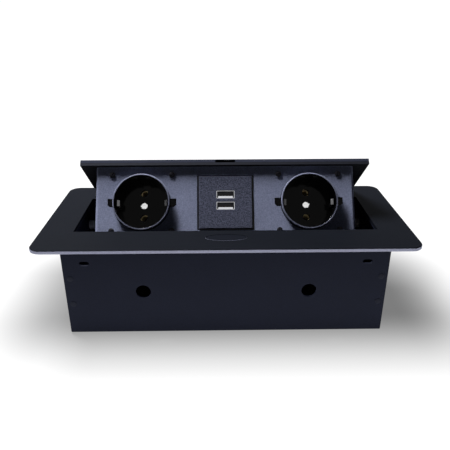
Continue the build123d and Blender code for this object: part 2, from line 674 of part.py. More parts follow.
# Pivot pins, sleeves, clips and torsion springs
clips = []
for name, side in SIDES.items():
    outer = Plane.YZ.offset(side * BOX_WIDTH / 2)
    inner_end = CHEEK_OUTER - PANEL_SHEET - PIN_END_LENGTH
    with BuildPart() as pivot_pin:
        with BuildSketch(outer):
            with Locations((PIVOT_Y, PIVOT_Z)):
                Circle(PIN_HEAD_DIAMETER / 2)
        extrude(amount=side * PIN_HEAD_HEIGHT)
        fillet(pivot_pin.edges().sort_by(Axis.X)[-1 if side > 0 else 0], PIN_HEAD_HEIGHT / 2)
        with BuildSketch(outer):
            with Locations((PIVOT_Y, PIVOT_Z)):
                Circle(PIN_DIAMETER / 2)
        extrude(amount=-side * (BOX_WIDTH / 2 - inner_end))
        chamfer(pivot_pin.edges().sort_by(Axis.X)[0 if side > 0 else -1], PIN_CHAMFER)
    save(pivot_pin.part, f"pivot_pin_{name}")

    with BuildPart() as sleeve:
        with BuildSketch(Plane.YZ.offset(side * END_INNER)):
            with Locations((PIVOT_Y, PIVOT_Z)):
                Circle(SLEEVE_DIAMETER / 2)
                Circle(PIN_HOLE_RADIUS, mode=Mode.SUBTRACT)
        extrude(amount=-side * (END_INNER - CHEEK_OUTER - END_PLAY))
    save(sleeve.part, f"pivot_sleeve_{name}")

    with BuildPart() as clip:
        with BuildSketch(Plane.YZ.offset(side * (CHEEK_OUTER - PANEL_SHEET - CLIP_GAP))):
            with Locations((PIVOT_Y, PIVOT_Z)):
                Circle(CLIP_DIAMETER / 2)
                Circle(PIN_DIAMETER / 2, mode=Mode.SUBTRACT)
                with Locations((0, -CLIP_DIAMETER / 2)):
                    Rectangle(CLIP_MOUTH, CLIP_DIAMETER, mode=Mode.SUBTRACT)
        extrude(amount=-side * CLIP_THICKNESS)
    clips.append(clip.part)
save(group_of(clips), "pivot_clips")

# Torsion springs round the sleeves, each with one leg tip in its end plate and one in its cheek
COIL_LENGTH = SPRING_TURNS * SPRING_PITCH
COIL_TO_CHEEK = END_INNER - SPRING_END_GAP - COIL_LENGTH - CHEEK_OUTER
with BuildPart() as coil_spring:
    with BuildLine() as coil:
        Helix(SPRING_PITCH, COIL_LENGTH, SPRING_MEAN_RADIUS)
    with BuildSketch(coil.line ^ 0):
        Circle(SPRING_WIRE / 2)
    sweep(path=coil.line, is_frenet=True)
    for level, along, tip_length in (
        (0, -1, -(SPRING_END_GAP + SHEET)),
        (COIL_LENGTH, 1, COIL_TO_CHEEK + PANEL_SHEET),
    ):
        with BuildSketch(Plane(origin=(SPRING_MEAN_RADIUS, 0, level), z_dir=(0, along, 0))):
            Circle(SPRING_WIRE / 2)
        extrude(amount=SPRING_LEG)
        with Locations((SPRING_MEAN_RADIUS, along * SPRING_LEG, level)):
            Sphere(SPRING_WIRE / 2)
        with BuildSketch(Plane.XY.offset(level)):
            with Locations((SPRING_MEAN_RADIUS, along * SPRING_LEG)):
                Circle(SPRING_WIRE / 2)
        extrude(amount=tip_length)
right_coil = Plane(
    origin=(END_INNER - SPRING_END_GAP, PIVOT_Y, PIVOT_Z), x_dir=(0, -1, 0), z_dir=(-1, 0, 0)
)
right_spring = coil_spring.part.moved(right_coil.location)
save(right_spring, "torsion_spring_right")
save(mirror(right_spring, about=Plane.YZ), "torsion_spring_left")

# Rubber stops on the back wall, which the cheeks meet when the carriage is open
bumpers = []
for side in (-1, 1):
    with BuildPart() as bumper:
        with BuildSketch(Plane.XZ.offset(-(BOX_BACK - SHEET))):
            with Locations((side * (CHEEK_OUTER - PANEL_SHEET / 2), BUMPER_Z)):
                Circle(BUMPER_DIAMETER / 2)
        extrude(amount=BUMPER_HEIGHT)
        fillet(bumper.edges().sort_by(Axis.Y)[0], BUMPER_EDGE_RADIUS)
    bumpers.append(bumper.part)
save(group_of(bumpers), "stop_bumpers")

# Earthed sockets
FLOOR_LEVEL = RING_HEIGHT - DISH_DEPTH
CARRIER_TOP = FLOOR_LEVEL - DISH_FLOOR
for name, side in SIDES.items():
    face = socket_plane(side)
    with BuildPart() as dish:
        with BuildSketch(socket_plane(side, CARRIER_TOP)):
            Circle(RING_RADIUS)
        extrude(amount=RING_HEIGHT - CARRIER_TOP)
        with BuildSketch(face):
            ear_outline(0)
        extrude(amount=-PANEL_SHEET)
        with BuildSketch(socket_plane(side, -PANEL_SHEET)):
            RectangleRounded(2 * PLATE_HALF_WIDTH, 2 * PLATE_HALF_HEIGHT, PLATE_THICKNESS)
        extrude(amount=-PLATE_THICKNESS)
        with BuildSketch(socket_plane(side, RING_HEIGHT)):
            Circle(RING_INNER_RADIUS)
        extrude(amount=-LEDGE_DROP, mode=Mode.SUBTRACT)
        with BuildSketch(socket_plane(side, RING_HEIGHT - LEDGE_DROP)):
            Circle(RING_INNER_RADIUS)
            for end in (-1, 1):
                with Locations((0, end * (LEDGE_CHORD + RING_RADIUS / 2))):
                    Rectangle(RING_RADIUS, RING_RADIUS, mode=Mode.SUBTRACT)
        extrude(amount=-(DISH_DEPTH - LEDGE_DROP), mode=Mode.SUBTRACT)
        with BuildSketch(socket_plane(side, RING_HEIGHT - LEDGE_DROP)):
            Circle(RING_INNER_RADIUS)
            Rectangle(LEDGE_NOTCH, 2 * RING_RADIUS, mode=Mode.INTERSECT)
        extrude(amount=-(DISH_DEPTH - LEDGE_DROP), mode=Mode.SUBTRACT)
        with BuildSketch(socket_plane(side, FLOOR_LEVEL)):
            with Locations((0, -PIN_SPACING / 2), (0, PIN_SPACING / 2)):
                Circle(PIN_HOLE_DIAMETER / 2)
            Circle(SCREW_SHANK / 2 + RUNNING_CLEARANCE)
            with Locations((-CLIP_RADIUS, 0), (CLIP_RADIUS, 0)):
                Rectangle(CLIP_STRIP + 2 * CLIP_SLOT_GAP, CLIP_STRIP_WIDTH + 2 * CLIP_SLOT_GAP)
        extrude(amount=-DISH_FLOOR, mode=Mode.SUBTRACT)
        with BuildSketch(socket_plane(side, -PANEL_SHEET)):
            with Locations(screw_places()):
                Circle(SCREW_SHANK / 2 + RUNNING_CLEARANCE)
        extrude(amount=-PLATE_THICKNESS, mode=Mode.SUBTRACT)
        rim = dish.faces().sort_by(Axis(face.origin, face.z_dir))[-1]
        fillet(rim.edges(), RING_EDGE_RADIUS)
    save(dish.part, f"socket_dish_{name}")

    strip_reach = CLIP_RADIUS + CLIP_STRIP / 2
    tip_level = RING_HEIGHT - CLIP_TIP_DROP
    with BuildPart() as earth_clip:
        clip_side = Plane(origin=face.origin, x_dir=(1, 0, 0), z_dir=-face.y_dir)
        with BuildSketch(clip_side):
            with BuildLine():
                for end in (-1, 1):
                    Polyline(
                        (0, CARRIER_TOP - CLIP_STRIP / 2),
                        (end * CLIP_RADIUS, CARRIER_TOP - CLIP_STRIP / 2),
                        (end * CLIP_RADIUS, (CARRIER_TOP + tip_level) / 2),
                        (end * (CLIP_RADIUS - CLIP_BULGE), tip_level - 2 * CLIP_STRIP),
                        (end * CLIP_RADIUS, tip_level - CLIP_STRIP / 2),
                    )
            trace(line_width=CLIP_STRIP)
        extrude(amount=CLIP_STRIP_WIDTH / 2, both=True)
        with BuildSketch(face):
            Circle(SCREW_SHANK / 2 + RUNNING_CLEARANCE)
        extrude(amount=-DISH_DEPTH, mode=Mode.SUBTRACT)
    save(earth_clip.part, f"earth_clip_{name}")

    with BuildPart() as carrier:
        with BuildSketch(socket_plane(side, CARRIER_TOP)):
            Circle(CARRIER_RADIUS + CLIP_STRIP)
        extrude(amount=-CARRIER_DEPTH)
        with BuildSketch(socket_plane(side, CARRIER_TOP)):
            Rectangle(2 * (CARRIER_RADIUS + CLIP_STRIP), CLIP_STRIP_WIDTH + 2 * CLIP_SLOT_GAP)
        extrude(amount=-CLIP_STRIP, mode=Mode.SUBTRACT)
        with BuildSketch(socket_plane(side, CARRIER_TOP)):
            with Locations((0, -PIN_SPACING / 2), (0, PIN_SPACING / 2)):
                Circle(SLEEVE_BORE / 2 + SLEEVE_WALL + CHAMBER_CLEARANCE)
        extrude(amount=-(SLEEVE_RECESS + SLEEVE_LENGTH), mode=Mode.SUBTRACT)
        with BuildSketch(socket_plane(side, CARRIER_TOP)):
            Circle(SCREW_SHANK / 2 + RUNNING_CLEARANCE)
        extrude(amount=-SLEEVE_LENGTH, mode=Mode.SUBTRACT)
    save(carrier.part, f"contact_carrier_{name}")

    sleeves = []
    for end in (-1, 1):
        with BuildPart() as contact:
            with BuildSketch(socket_plane(side, CARRIER_TOP - SLEEVE_RECESS)):
                with Locations((0, end * PIN_SPACING / 2)):
                    Circle(SLEEVE_BORE / 2 + SLEEVE_WALL)
                    Circle(SLEEVE_BORE / 2, mode=Mode.SUBTRACT)
                    with Locations((SLEEVE_BORE / 2, 0)):
                        Rectangle(2 * SLEEVE_WALL + SLIT, SLIT, mode=Mode.SUBTRACT)
            extrude(amount=-SLEEVE_LENGTH)
        sleeves.append(contact.part)
    save(group_of(sleeves), f"contact_sleeves_{name}")

save(
    group_of(
        slotted_screw(
            socket_plane(side, FLOOR_LEVEL),
            CENTRE_SCREW_HEAD,
            SCREW_HEAD_HEIGHT,
            SCREW_SHANK,
            CENTRE_SCREW_LENGTH,
        )
        for side in (-1, 1)
    ),
    "socket_centre_screws",
)

panel_screws = []
for side in (-1, 1):
    for x, y in screw_places():
        panel_screws.append(
            slotted_screw(
                panel_plane(side * SOCKET_SPACING / 2 + x, -SOCKET_DROP + y),
                SCREW_HEAD,
                SCREW_HEAD_HEIGHT,
                SCREW_SHANK,
                PANEL_SHEET + PLATE_THICKNESS,
            )
        )
save(group_of(panel_screws), "panel_screws")

# Charging module
def port_places():
    """The middles of the two ports on the plane of the panel's window."""
    return [(0, PORT_RISE + end * PORT_PITCH / 2) for end in (-1, 1)]


BEZEL_BACK = -PANEL_SHEET
with BuildPart() as usb_bezel:
    with BuildSketch(WINDOW_MIDDLE.offset(BEZEL_BACK)):
        Rectangle(BEZEL_WIDTH, BEZEL_HEIGHT)
    extrude(amount=BEZEL_PROUD - BEZEL_BACK)
    window_axis = Axis(WINDOW_MIDDLE.origin, WINDOW_MIDDLE.z_dir)
    fillet(usb_bezel.faces().sort_by(window_axis)[-1].edges(), BEZEL_EDGE_RADIUS)
    with BuildSketch(WINDOW_MIDDLE.offset(BEZEL_PROUD)):
        with Locations(port_places()):
            Rectangle(PORT_WIDTH, PORT_HEIGHT)
    extrude(amount=BEZEL_BACK - BEZEL_PROUD, mode=Mode.SUBTRACT)
save(usb_bezel.part, "usb_bezel")

with BuildPart() as usb_housing:
    with BuildSketch(WINDOW_MIDDLE.offset(BEZEL_BACK)):
        Rectangle(USB_WINDOW_WIDTH + 2 * USB_FLANGE, USB_WINDOW_HEIGHT + 2 * USB_FLANGE)
    extrude(amount=-USB_WALL)
    with BuildSketch(WINDOW_MIDDLE.offset(BEZEL_BACK - USB_WALL)):
        RectangleRounded(BEZEL_WIDTH, BEZEL_HEIGHT, USB_WALL)
    extrude(amount=-(USB_DEPTH - USB_WALL))
    with BuildSketch(WINDOW_MIDDLE.offset(BEZEL_BACK)):
        Rectangle(BEZEL_WIDTH - 2 * USB_FLANGE, BEZEL_HEIGHT - 2 * USB_FLANGE)
    extrude(amount=-(USB_DEPTH - USB_WALL), mode=Mode.SUBTRACT)
save(usb_housing.part, "usb_housing")

BOARD_TOP = -PORT_DEPTH
shells = []
tongues = []
for x, y in port_places():
    port_front = Plane(
        origin=WINDOW_MIDDLE.from_local_coords((x, y, 0)), x_dir=(1, 0, 0), z_dir=WINDOW_MIDDLE.z_dir
    )
    with BuildPart() as shell:
        with BuildSketch(port_front):
            Rectangle(PORT_WIDTH - 2 * PORT_GAP, PORT_HEIGHT - 2 * PORT_GAP)
            Rectangle(
                PORT_WIDTH - 2 * PORT_GAP - 2 * PORT_SHELL,
                PORT_HEIGHT - 2 * PORT_GAP - 2 * PORT_SHELL,
                mode=Mode.SUBTRACT,
            )
        extrude(amount=BOARD_TOP)
    shells.append(shell.part)
    with BuildPart() as tongue:
        with BuildSketch(port_front.offset(-TONGUE_RECESS)):
            with Locations((0, TONGUE_ABOVE_MIDDLE)):
                Rectangle(TONGUE_WIDTH, TONGUE_THICKNESS)
        extrude(amount=BOARD_TOP + TONGUE_RECESS)
        with BuildSketch(port_front.offset(BOARD_TOP)):
            Rectangle(
                PORT_WIDTH - 2 * PORT_GAP - 2 * PORT_SHELL,
                PORT_HEIGHT - 2 * PORT_GAP - 2 * PORT_SHELL,
            )
        extrude(amount=USB_WALL)
    tongues.append(tongue.part)
save(group_of(shells), "usb_port_shells")
save(group_of(tongues), "usb_contact_tongues")

with BuildPart() as usb_board:
    with BuildSketch(WINDOW_MIDDLE.offset(BOARD_TOP)):
        Rectangle(
            BEZEL_WIDTH - 2 * USB_FLANGE - 2 * BOARD_GAP, BEZEL_HEIGHT - 2 * USB_FLANGE - 2 * BOARD_GAP
        )
    extrude(amount=-BOARD_THICKNESS)
save(usb_board.part, "usb_board")

# Push plate: an elliptical plate with a skirt under the flange and two wedge legs
with BuildPart() as push_plate:
    with BuildSketch(Plane.XY.offset(SKIRT_TOP)):
        with Locations((0, BUTTON_Y)):
            Ellipse(BUTTON_LENGTH / 2 - BUTTON_GAP, BUTTON_WIDTH / 2 - BUTTON_GAP)
    extrude(amount=FLANGE_TOP - SKIRT_TOP)
    fillet(push_plate.faces().sort_by(Axis.Z)[-1].edges(), BUTTON_EDGE_RADIUS)
    with BuildSketch(Plane.XY.offset(SKIRT_BOTTOM)):
        with Locations((0, BUTTON_Y)):
            Ellipse(BUTTON_LENGTH / 2 + SKIRT_MARGIN, BUTTON_WIDTH / 2 + SKIRT_MARGIN)
    extrude(amount=SKIRT_THICKNESS)
    for side in (-1, 1):
        with BuildSketch(Plane.YZ.offset(side * LEG_OFFSET)):
            Polygon(
                (LEG_FRONT, SKIRT_BOTTOM),
                (LEG_FRONT + LEG_RUN, LEG_TIP),
                (LEG_REAR, LEG_TIP),
                (LEG_REAR, SKIRT_BOTTOM),
                align=None,
            )
        extrude(amount=LEG_WIDTH / 2, both=True)
save(push_plate.part, "push_plate")

# Latch slide: the legs' wedges draw it to the front and its tongue out of the lid's notch
with BuildPart() as latch_slide:
    with BuildSketch(Plane.XY.offset(SLIDE_BOTTOM)):
        with Locations((0, (SLIDE_FRONT + SLIDE_BACK) / 2)):
            Rectangle(SLIDE_WIDTH, SLIDE_BACK - SLIDE_FRONT)
    extrude(amount=SLIDE_THICKNESS)
    with BuildSketch(Plane.YZ):
        Polygon(
            (RISER_FRONT, SLIDE_TOP),
            (RISER_FRONT, TONGUE_BOTTOM + TONGUE_PLATE),
            (TONGUE_END - TONGUE_CHAMFER, TONGUE_BOTTOM + TONGUE_PLATE),
            (TONGUE_END, TONGUE_BOTTOM + TONGUE_PLATE - TONGUE_CHAMFER),
            (TONGUE_END, TONGUE_BOTTOM),
            (SLIDE_BACK, TONGUE_BOTTOM),
            (SLIDE_BACK, SLIDE_TOP),
            align=None,
        )
    extrude(amount=LATCH_TONGUE_WIDTH / 2, both=True)
    for side in (-1, 1):
        with BuildSketch(Plane.YZ.offset(side * LEG_OFFSET)):
            window_back = LEG_REAR + BUTTON_TRAVEL + WINDOW_GAP
            Polygon(
                (LEG_FRONT + SKIRT_BOTTOM - SLIDE_TOP - RAMP_GAP, SLIDE_TOP),
                (LEG_FRONT + SKIRT_BOTTOM - SLIDE_BOTTOM - RAMP_GAP, SLIDE_BOTTOM),
                (window_back, SLIDE_BOTTOM),
                (window_back, SLIDE_TOP),
                align=None,
            )
        extrude(amount=LEG_WIDTH / 2 + WINDOW_GAP, both=True, mode=Mode.SUBTRACT)
    with BuildSketch(Plane.XY.offset(SLIDE_BOTTOM)):
        with Locations((0, (SLIDE_FRONT + SPRING_SEAT) / 2)):
            Rectangle(SPRING_SLOT_WIDTH, SPRING_SLOT_LENGTH)
    extrude(amount=SLIDE_THICKNESS, mode=Mode.SUBTRACT)
save(latch_slide.part, "latch_slide")

# Latch guide: a tray screwed to the underside of the front border
with BuildPart() as latch_guide:
    with BuildSketch(Plane.XY.offset(GUIDE_BOTTOM)):
        with Locations((0, (GUIDE_FRONT - GUIDE_WALL + SLIDE_BACK) / 2)):
            Rectangle(2 * (GUIDE_INNER + GUIDE_WALL), SLIDE_BACK - GUIDE_FRONT + GUIDE_WALL)
    extrude(amount=FLANGE_UNDERSIDE - GUIDE_BOTTOM)
    with BuildSketch(Plane.XY.offset(FLANGE_UNDERSIDE)):
        with Locations((0, (GUIDE_FRONT + SLIDE_BACK) / 2 + GUIDE_WALL)):
            Rectangle(2 * GUIDE_INNER, SLIDE_BACK - GUIDE_FRONT + 2 * GUIDE_WALL)
    extrude(amount=SLIDE_BOTTOM - SLIDE_GAP - FLANGE_UNDERSIDE, mode=Mode.SUBTRACT)
    with BuildSketch(Plane.XY.offset(FLANGE_UNDERSIDE)):
        for side in (-1, 1):
            with Locations((side * GUIDE_SCREW_X, GUIDE_SCREW_Y)):
                RectangleRounded(GUIDE_EAR, GUIDE_EAR, GUIDE_WALL)
    extrude(amount=-GUIDE_WALL)
    with BuildSketch(Plane.XY.offset(FLANGE_UNDERSIDE)):
        for side in (-1, 1):
            with Locations((side * GUIDE_SCREW_X, GUIDE_SCREW_Y)):
                Circle(SCREW_HOLE / 2)
            with Locations((side * LEG_OFFSET, LEG_REAR - (BUTTON_TRAVEL + LEG_THICKNESS) / 2)):
                Rectangle(
                    LEG_WIDTH + 2 * WINDOW_GAP, BUTTON_TRAVEL + LEG_THICKNESS + 2 * WINDOW_GAP
                )
    extrude(amount=GUIDE_BOTTOM - FLANGE_UNDERSIDE, mode=Mode.SUBTRACT)
save(latch_guide.part, "latch_guide")
save(
    group_of(
        slotted_screw(
            Plane(
                origin=(side * GUIDE_SCREW_X, GUIDE_SCREW_Y, FLANGE_UNDERSIDE - GUIDE_WALL),
                x_dir=(1, 0, 0),
                z_dir=(0, 0, -1),
            ),
            SCREW_HEAD,
            SCREW_HEAD_HEIGHT,
            SCREW_SHANK,
            GUIDE_WALL + GUIDE_SCREW_BITE - SKIRT_GAP,
        )
        for side in (-1, 1)
    ),
    "guide_screws",
)

LATCH_SPRING_LENGTH = SPRING_SEAT - GUIDE_FRONT - LATCH_SPRING_WIRE
with BuildPart() as latch_coil:
    with BuildLine() as coil:
        Helix(LATCH_SPRING_LENGTH / LATCH_SPRING_TURNS, LATCH_SPRING_LENGTH, LATCH_SPRING_RADIUS)
    with BuildSketch(coil.line ^ 0):
        Circle(LATCH_SPRING_WIRE / 2)
    sweep(path=coil.line, is_frenet=True)
spring_start = Plane(
    origin=(0, GUIDE_FRONT + LATCH_SPRING_WIRE / 2, SLIDE_MIDDLE), x_dir=(1, 0, 0), z_dir=(0, 1, 0)
)
save(latch_coil.part.moved(spring_start.location), "latch_spring")

# Back cover of the carriage: it sits on the panel's lip and closes the space behind the sockets
COVER_HALF = CHEEK_OUTER - PANEL_SHEET
with BuildPart() as back_cover:
    with BuildSketch(panel_plane(0, COVER_FLOOR)):
        with Locations((0, COVER_SHEET / 2)):
            Rectangle(2 * COVER_HALF, COVER_SHEET)
    extrude(amount=-COVER_SHELL_DEPTH)
    with BuildSketch(panel_plane(0, COVER_FLOOR, -PANEL_SHEET - COVER_SHEET)):
        with Locations((0, COVER_SHEET / 2)):
            Rectangle(2 * COVER_HALF, COVER_SHEET)
    extrude(amount=PANEL_SHEET + COVER_SHEET, mode=Mode.SUBTRACT)
    with BuildSketch(panel_plane(0, COVER_TAB_MIDDLE, -COVER_SHELL_DEPTH)):
        Rectangle(2 * COVER_HALF, COVER_HEAD - COVER_FLOOR)
    extrude(amount=COVER_SHEET)
    for side in (-1, 1):
        tab_x = side * (COVER_HALF - COVER_SHEET / 2)
        with BuildSketch(panel_plane(tab_x, COVER_TAB_MIDDLE, -COVER_SHELL_DEPTH)):
            Rectangle(COVER_SHEET, COVER_TAB_HEIGHT)
        extrude(amount=COVER_TAB)
    for row in (-1, 1):
        screw_row = COVER_TAB_MIDDLE + row * COVER_SCREW_PITCH / 2
        hole = PANEL.from_local_coords((-PANEL_WIDTH / 2, screw_row, COVER_SCREW_LEVEL))
        with BuildSketch(Plane(origin=hole, z_dir=(1, 0, 0))):
            Circle(SCREW_SHANK / 2 + RUNNING_CLEARANCE)
        extrude(amount=PANEL_WIDTH, mode=Mode.SUBTRACT)
save(back_cover.part, "back_cover")

cover_screws = []
for side in (-1, 1):
    for row in (-1, 1):
        screw_row = COVER_TAB_MIDDLE + row * COVER_SCREW_PITCH / 2
        place = PANEL.from_local_coords((side * CHEEK_OUTER, screw_row, COVER_SCREW_LEVEL))
        cover_screws.append(
            slotted_screw(
                Plane(origin=place, x_dir=(0, 1, 0), z_dir=(side, 0, 0)),
                SCREW_HEAD,
                SCREW_HEAD_HEIGHT,
                SCREW_SHANK,
                PANEL_SHEET + 2 * COVER_SHEET,
            )
        )
save(group_of(cover_screws), "cover_screws")

# Cable bushing in the back wall
bushing_plane = Plane(origin=(BUSHING_X, BOX_BACK, BUSHING_HEIGHT), x_dir=(-1, 0, 0), z_dir=(0, 1, 0))
with BuildPart() as cable_bushing:
    with BuildSketch(bushing_plane.offset(-SHEET - BUSHING_INSIDE)):
        Circle(BUSHING_BODY_RADIUS)
    extrude(amount=BUSHING_INSIDE + SHEET)
    with BuildSketch(bushing_plane):
        Circle(BUSHING_FLANGE_RADIUS)
    extrude(amount=BUSHING_FLANGE)
    with BuildSketch(bushing_plane.offset(BUSHING_FLANGE)):
        Circle(BUSHING_BODY_RADIUS)
    extrude(amount=BUSHING_NOSE, taper=BUSHING_NOSE_TAPER)
    with BuildSketch(bushing_plane.offset(-SHEET - BUSHING_INSIDE)):
        Circle(BUSHING_BORE_RADIUS)
    extrude(amount=BUSHING_INSIDE + SHEET + BUSHING_FLANGE + BUSHING_NOSE, mode=Mode.SUBTRACT)
save(cable_bushing.part, "cable_bushing")

# Terminal block on the bottom of the box
TERMINAL_Y = BOX_BACK - SHEET - TERMINAL_WALL_GAP - TERMINAL_WIDTH / 2
TERMINAL_TOP = SHEET + TERMINAL_BASE_HEIGHT + TERMINAL_TOWER_HEIGHT
TERMINAL_PLACES = [(TERMINAL_X + step * TERMINAL_PITCH, TERMINAL_Y) for step in (-1, 0, 1)]
with BuildPart() as terminal_block:
    with BuildSketch(Plane.XY.offset(SHEET)):
        with Locations((TERMINAL_X, TERMINAL_Y)):
            Rectangle(TERMINAL_LENGTH, TERMINAL_WIDTH)
    extrude(amount=TERMINAL_BASE_HEIGHT)
    with BuildSketch(Plane.XY.offset(SHEET + TERMINAL_BASE_HEIGHT)):
        with Locations(TERMINAL_PLACES):
            RectangleRounded(TERMINAL_PITCH - TERMINAL_TOWER_GAP, TERMINAL_TOWER_WIDTH, TERMINAL_TOWER_GAP)
    extrude(amount=TERMINAL_TOWER_HEIGHT)
    with BuildSketch(Plane.XZ.offset(-(TERMINAL_Y - TERMINAL_WIDTH / 2))):
        for x, y in TERMINAL_PLACES:
            with Locations((x, SHEET + TERMINAL_BORE_HEIGHT)):
                Circle(TERMINAL_BORE / 2)
    extrude(amount=-TERMINAL_WIDTH, mode=Mode.SUBTRACT)
    with BuildSketch(Plane.XY.offset(TERMINAL_TOP)):
        with Locations(TERMINAL_PLACES):
            Circle(SCREW_SHANK / 2 + TERMINAL_SCREW_GAP)
    extrude(amount=-(TERMINAL_SCREW_LENGTH + TERMINAL_SCREW_BOTTOM), mode=Mode.SUBTRACT)
save(terminal_block.part, "terminal_block")
save(
    group_of(
        slotted_screw(
            Plane(origin=(x, y, TERMINAL_TOP)),
            SCREW_HEAD,
            SCREW_HEAD_HEIGHT,
            SCREW_SHANK,
            TERMINAL_SCREW_LENGTH,
        )
        for x, y in TERMINAL_PLACES
    ),
    "terminal_screws",
)
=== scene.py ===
"""Looks of the in-desk power module.

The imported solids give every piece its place. Each piece is finished here as it leaves the
workshop: edges get their small breaks, curved walls are shaded smooth, fasteners, springs and
contacts get their fine form, and every surface gets its own coat, moulding or plating.
The solids' frame is kept: X along the front, Y away from the user, Z up. Sizes are written in
millimetres and turned into metres by MM. Only the studio's lamps, its floor's side and the
distances of the floor's glow are written in metres.
"""
import logging
import math
from dataclasses import dataclass, field
from enum import Enum

import bmesh
import bpy
from mathutils import Matrix, Vector


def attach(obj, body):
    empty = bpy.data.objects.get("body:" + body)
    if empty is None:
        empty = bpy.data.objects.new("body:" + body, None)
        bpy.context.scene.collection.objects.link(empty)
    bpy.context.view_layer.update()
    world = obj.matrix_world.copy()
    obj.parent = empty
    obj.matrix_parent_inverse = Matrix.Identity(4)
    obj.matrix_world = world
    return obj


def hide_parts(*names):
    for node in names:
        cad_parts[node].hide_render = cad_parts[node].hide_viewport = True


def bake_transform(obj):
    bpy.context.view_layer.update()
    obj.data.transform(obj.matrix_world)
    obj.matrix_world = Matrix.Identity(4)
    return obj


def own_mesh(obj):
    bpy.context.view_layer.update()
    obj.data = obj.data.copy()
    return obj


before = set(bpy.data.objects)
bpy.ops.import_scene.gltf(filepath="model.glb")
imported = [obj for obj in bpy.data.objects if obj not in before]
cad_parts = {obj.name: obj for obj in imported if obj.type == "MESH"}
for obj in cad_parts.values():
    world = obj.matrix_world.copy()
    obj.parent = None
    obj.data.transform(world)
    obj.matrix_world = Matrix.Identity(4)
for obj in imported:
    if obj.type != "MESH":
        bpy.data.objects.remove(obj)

log = logging.getLogger("power_module")
MM = 0.001
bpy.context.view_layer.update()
SIDES = {"left": -1, "right": 1}

Pair = tuple[float, float]
Triple = tuple[float, float, float]
Color = tuple[float, float, float, float]
Span = tuple[float, float, float, float]
Socket = bpy.types.NodeSocket


class Body(Enum):
    """The four bodies that move apart from each other."""

    HOUSING = "housing"
    CARRIAGE = "carriage"
    PUSH_PLATE = "push_plate"
    LATCH = "latch"


def linear(red: int, green: int, blue: int) -> Color:
    """Turn a colour as it looks on a screen into the shader's linear values.

    Args:
        red: Red from 0 to 255.
        green: Green from 0 to 255.
        blue: Blue from 0 to 255.

    Returns:
        The colour with a full alpha.
    """
    shares = (channel / 255 for channel in (red, green, blue))
    bent = [s / 12.92 if s <= 0.04045 else ((s + 0.055) / 1.055) ** 2.4 for s in shares]
    return (*bent, 1.0)


def shade(color: Color, factor: float) -> Color:
    """Make a linear colour lighter or darker."""
    return (*(min(1.0, channel * factor) for channel in color[:3]), 1.0)


def grey(level: float) -> Color:
    """Give the linear grey of one level."""
    return (level, level, level, 1.0)


def metres(sizes: Triple) -> list[float]:
    """Turn three sizes in millimetres into metres."""
    return [size * MM for size in sizes]


@dataclass(frozen=True)
class Station:
    """A flat face of the carriage, with its own directions, at the open stop."""

    origin: Vector
    up: Vector
    out: Vector

    def at(self, x: float, y: float, height: float = 0.0) -> Vector:
        """Give the point x mm to the right, y mm up the face and height mm out of it."""
        return self.origin + (Vector((x, 0, 0)) + self.up * y + self.out * height) * MM


@dataclass(frozen=True)
class Swing:
    """Where the carriage hangs and how far it is open."""

    pivot_y: float = 43.0
    pivot_z: float = 53.2
    open_angle: float = 41.5
    panel_angle: float = 81.5
    lid_front: float = -29.7
    lid_under: float = 76.5
    panel_setback: float = 3.0

    def lid(self) -> Station:
        """Give the underside of the lid, from its front edge."""
        turn = math.radians(self.open_angle)
        ahead, above = self.lid_front - self.pivot_y, self.lid_under - self.pivot_z
        y = self.pivot_y + ahead * math.cos(turn) + above * math.sin(turn)
        z = self.pivot_z - ahead * math.sin(turn) + above * math.cos(turn)
        out = Vector((0, math.sin(turn), math.cos(turn)))
        return Station(Vector((0, y, z)) * MM, out.cross(Vector((1, 0, 0))), out)

    def panel(self) -> Station:
        """Give the face of the socket panel, from its top edge."""
        fall = math.radians(self.open_angle + self.panel_angle)
        out = Vector((0, -math.sin(fall), -math.cos(fall)))
        return Station(self.lid().at(0, self.panel_setback), out.cross(Vector((1, 0, 0))), out)


SWING = Swing()
LID = SWING.lid()
PANEL = SWING.panel()
SOCKET_X = 61.8
SOCKET_DROP = 27.3


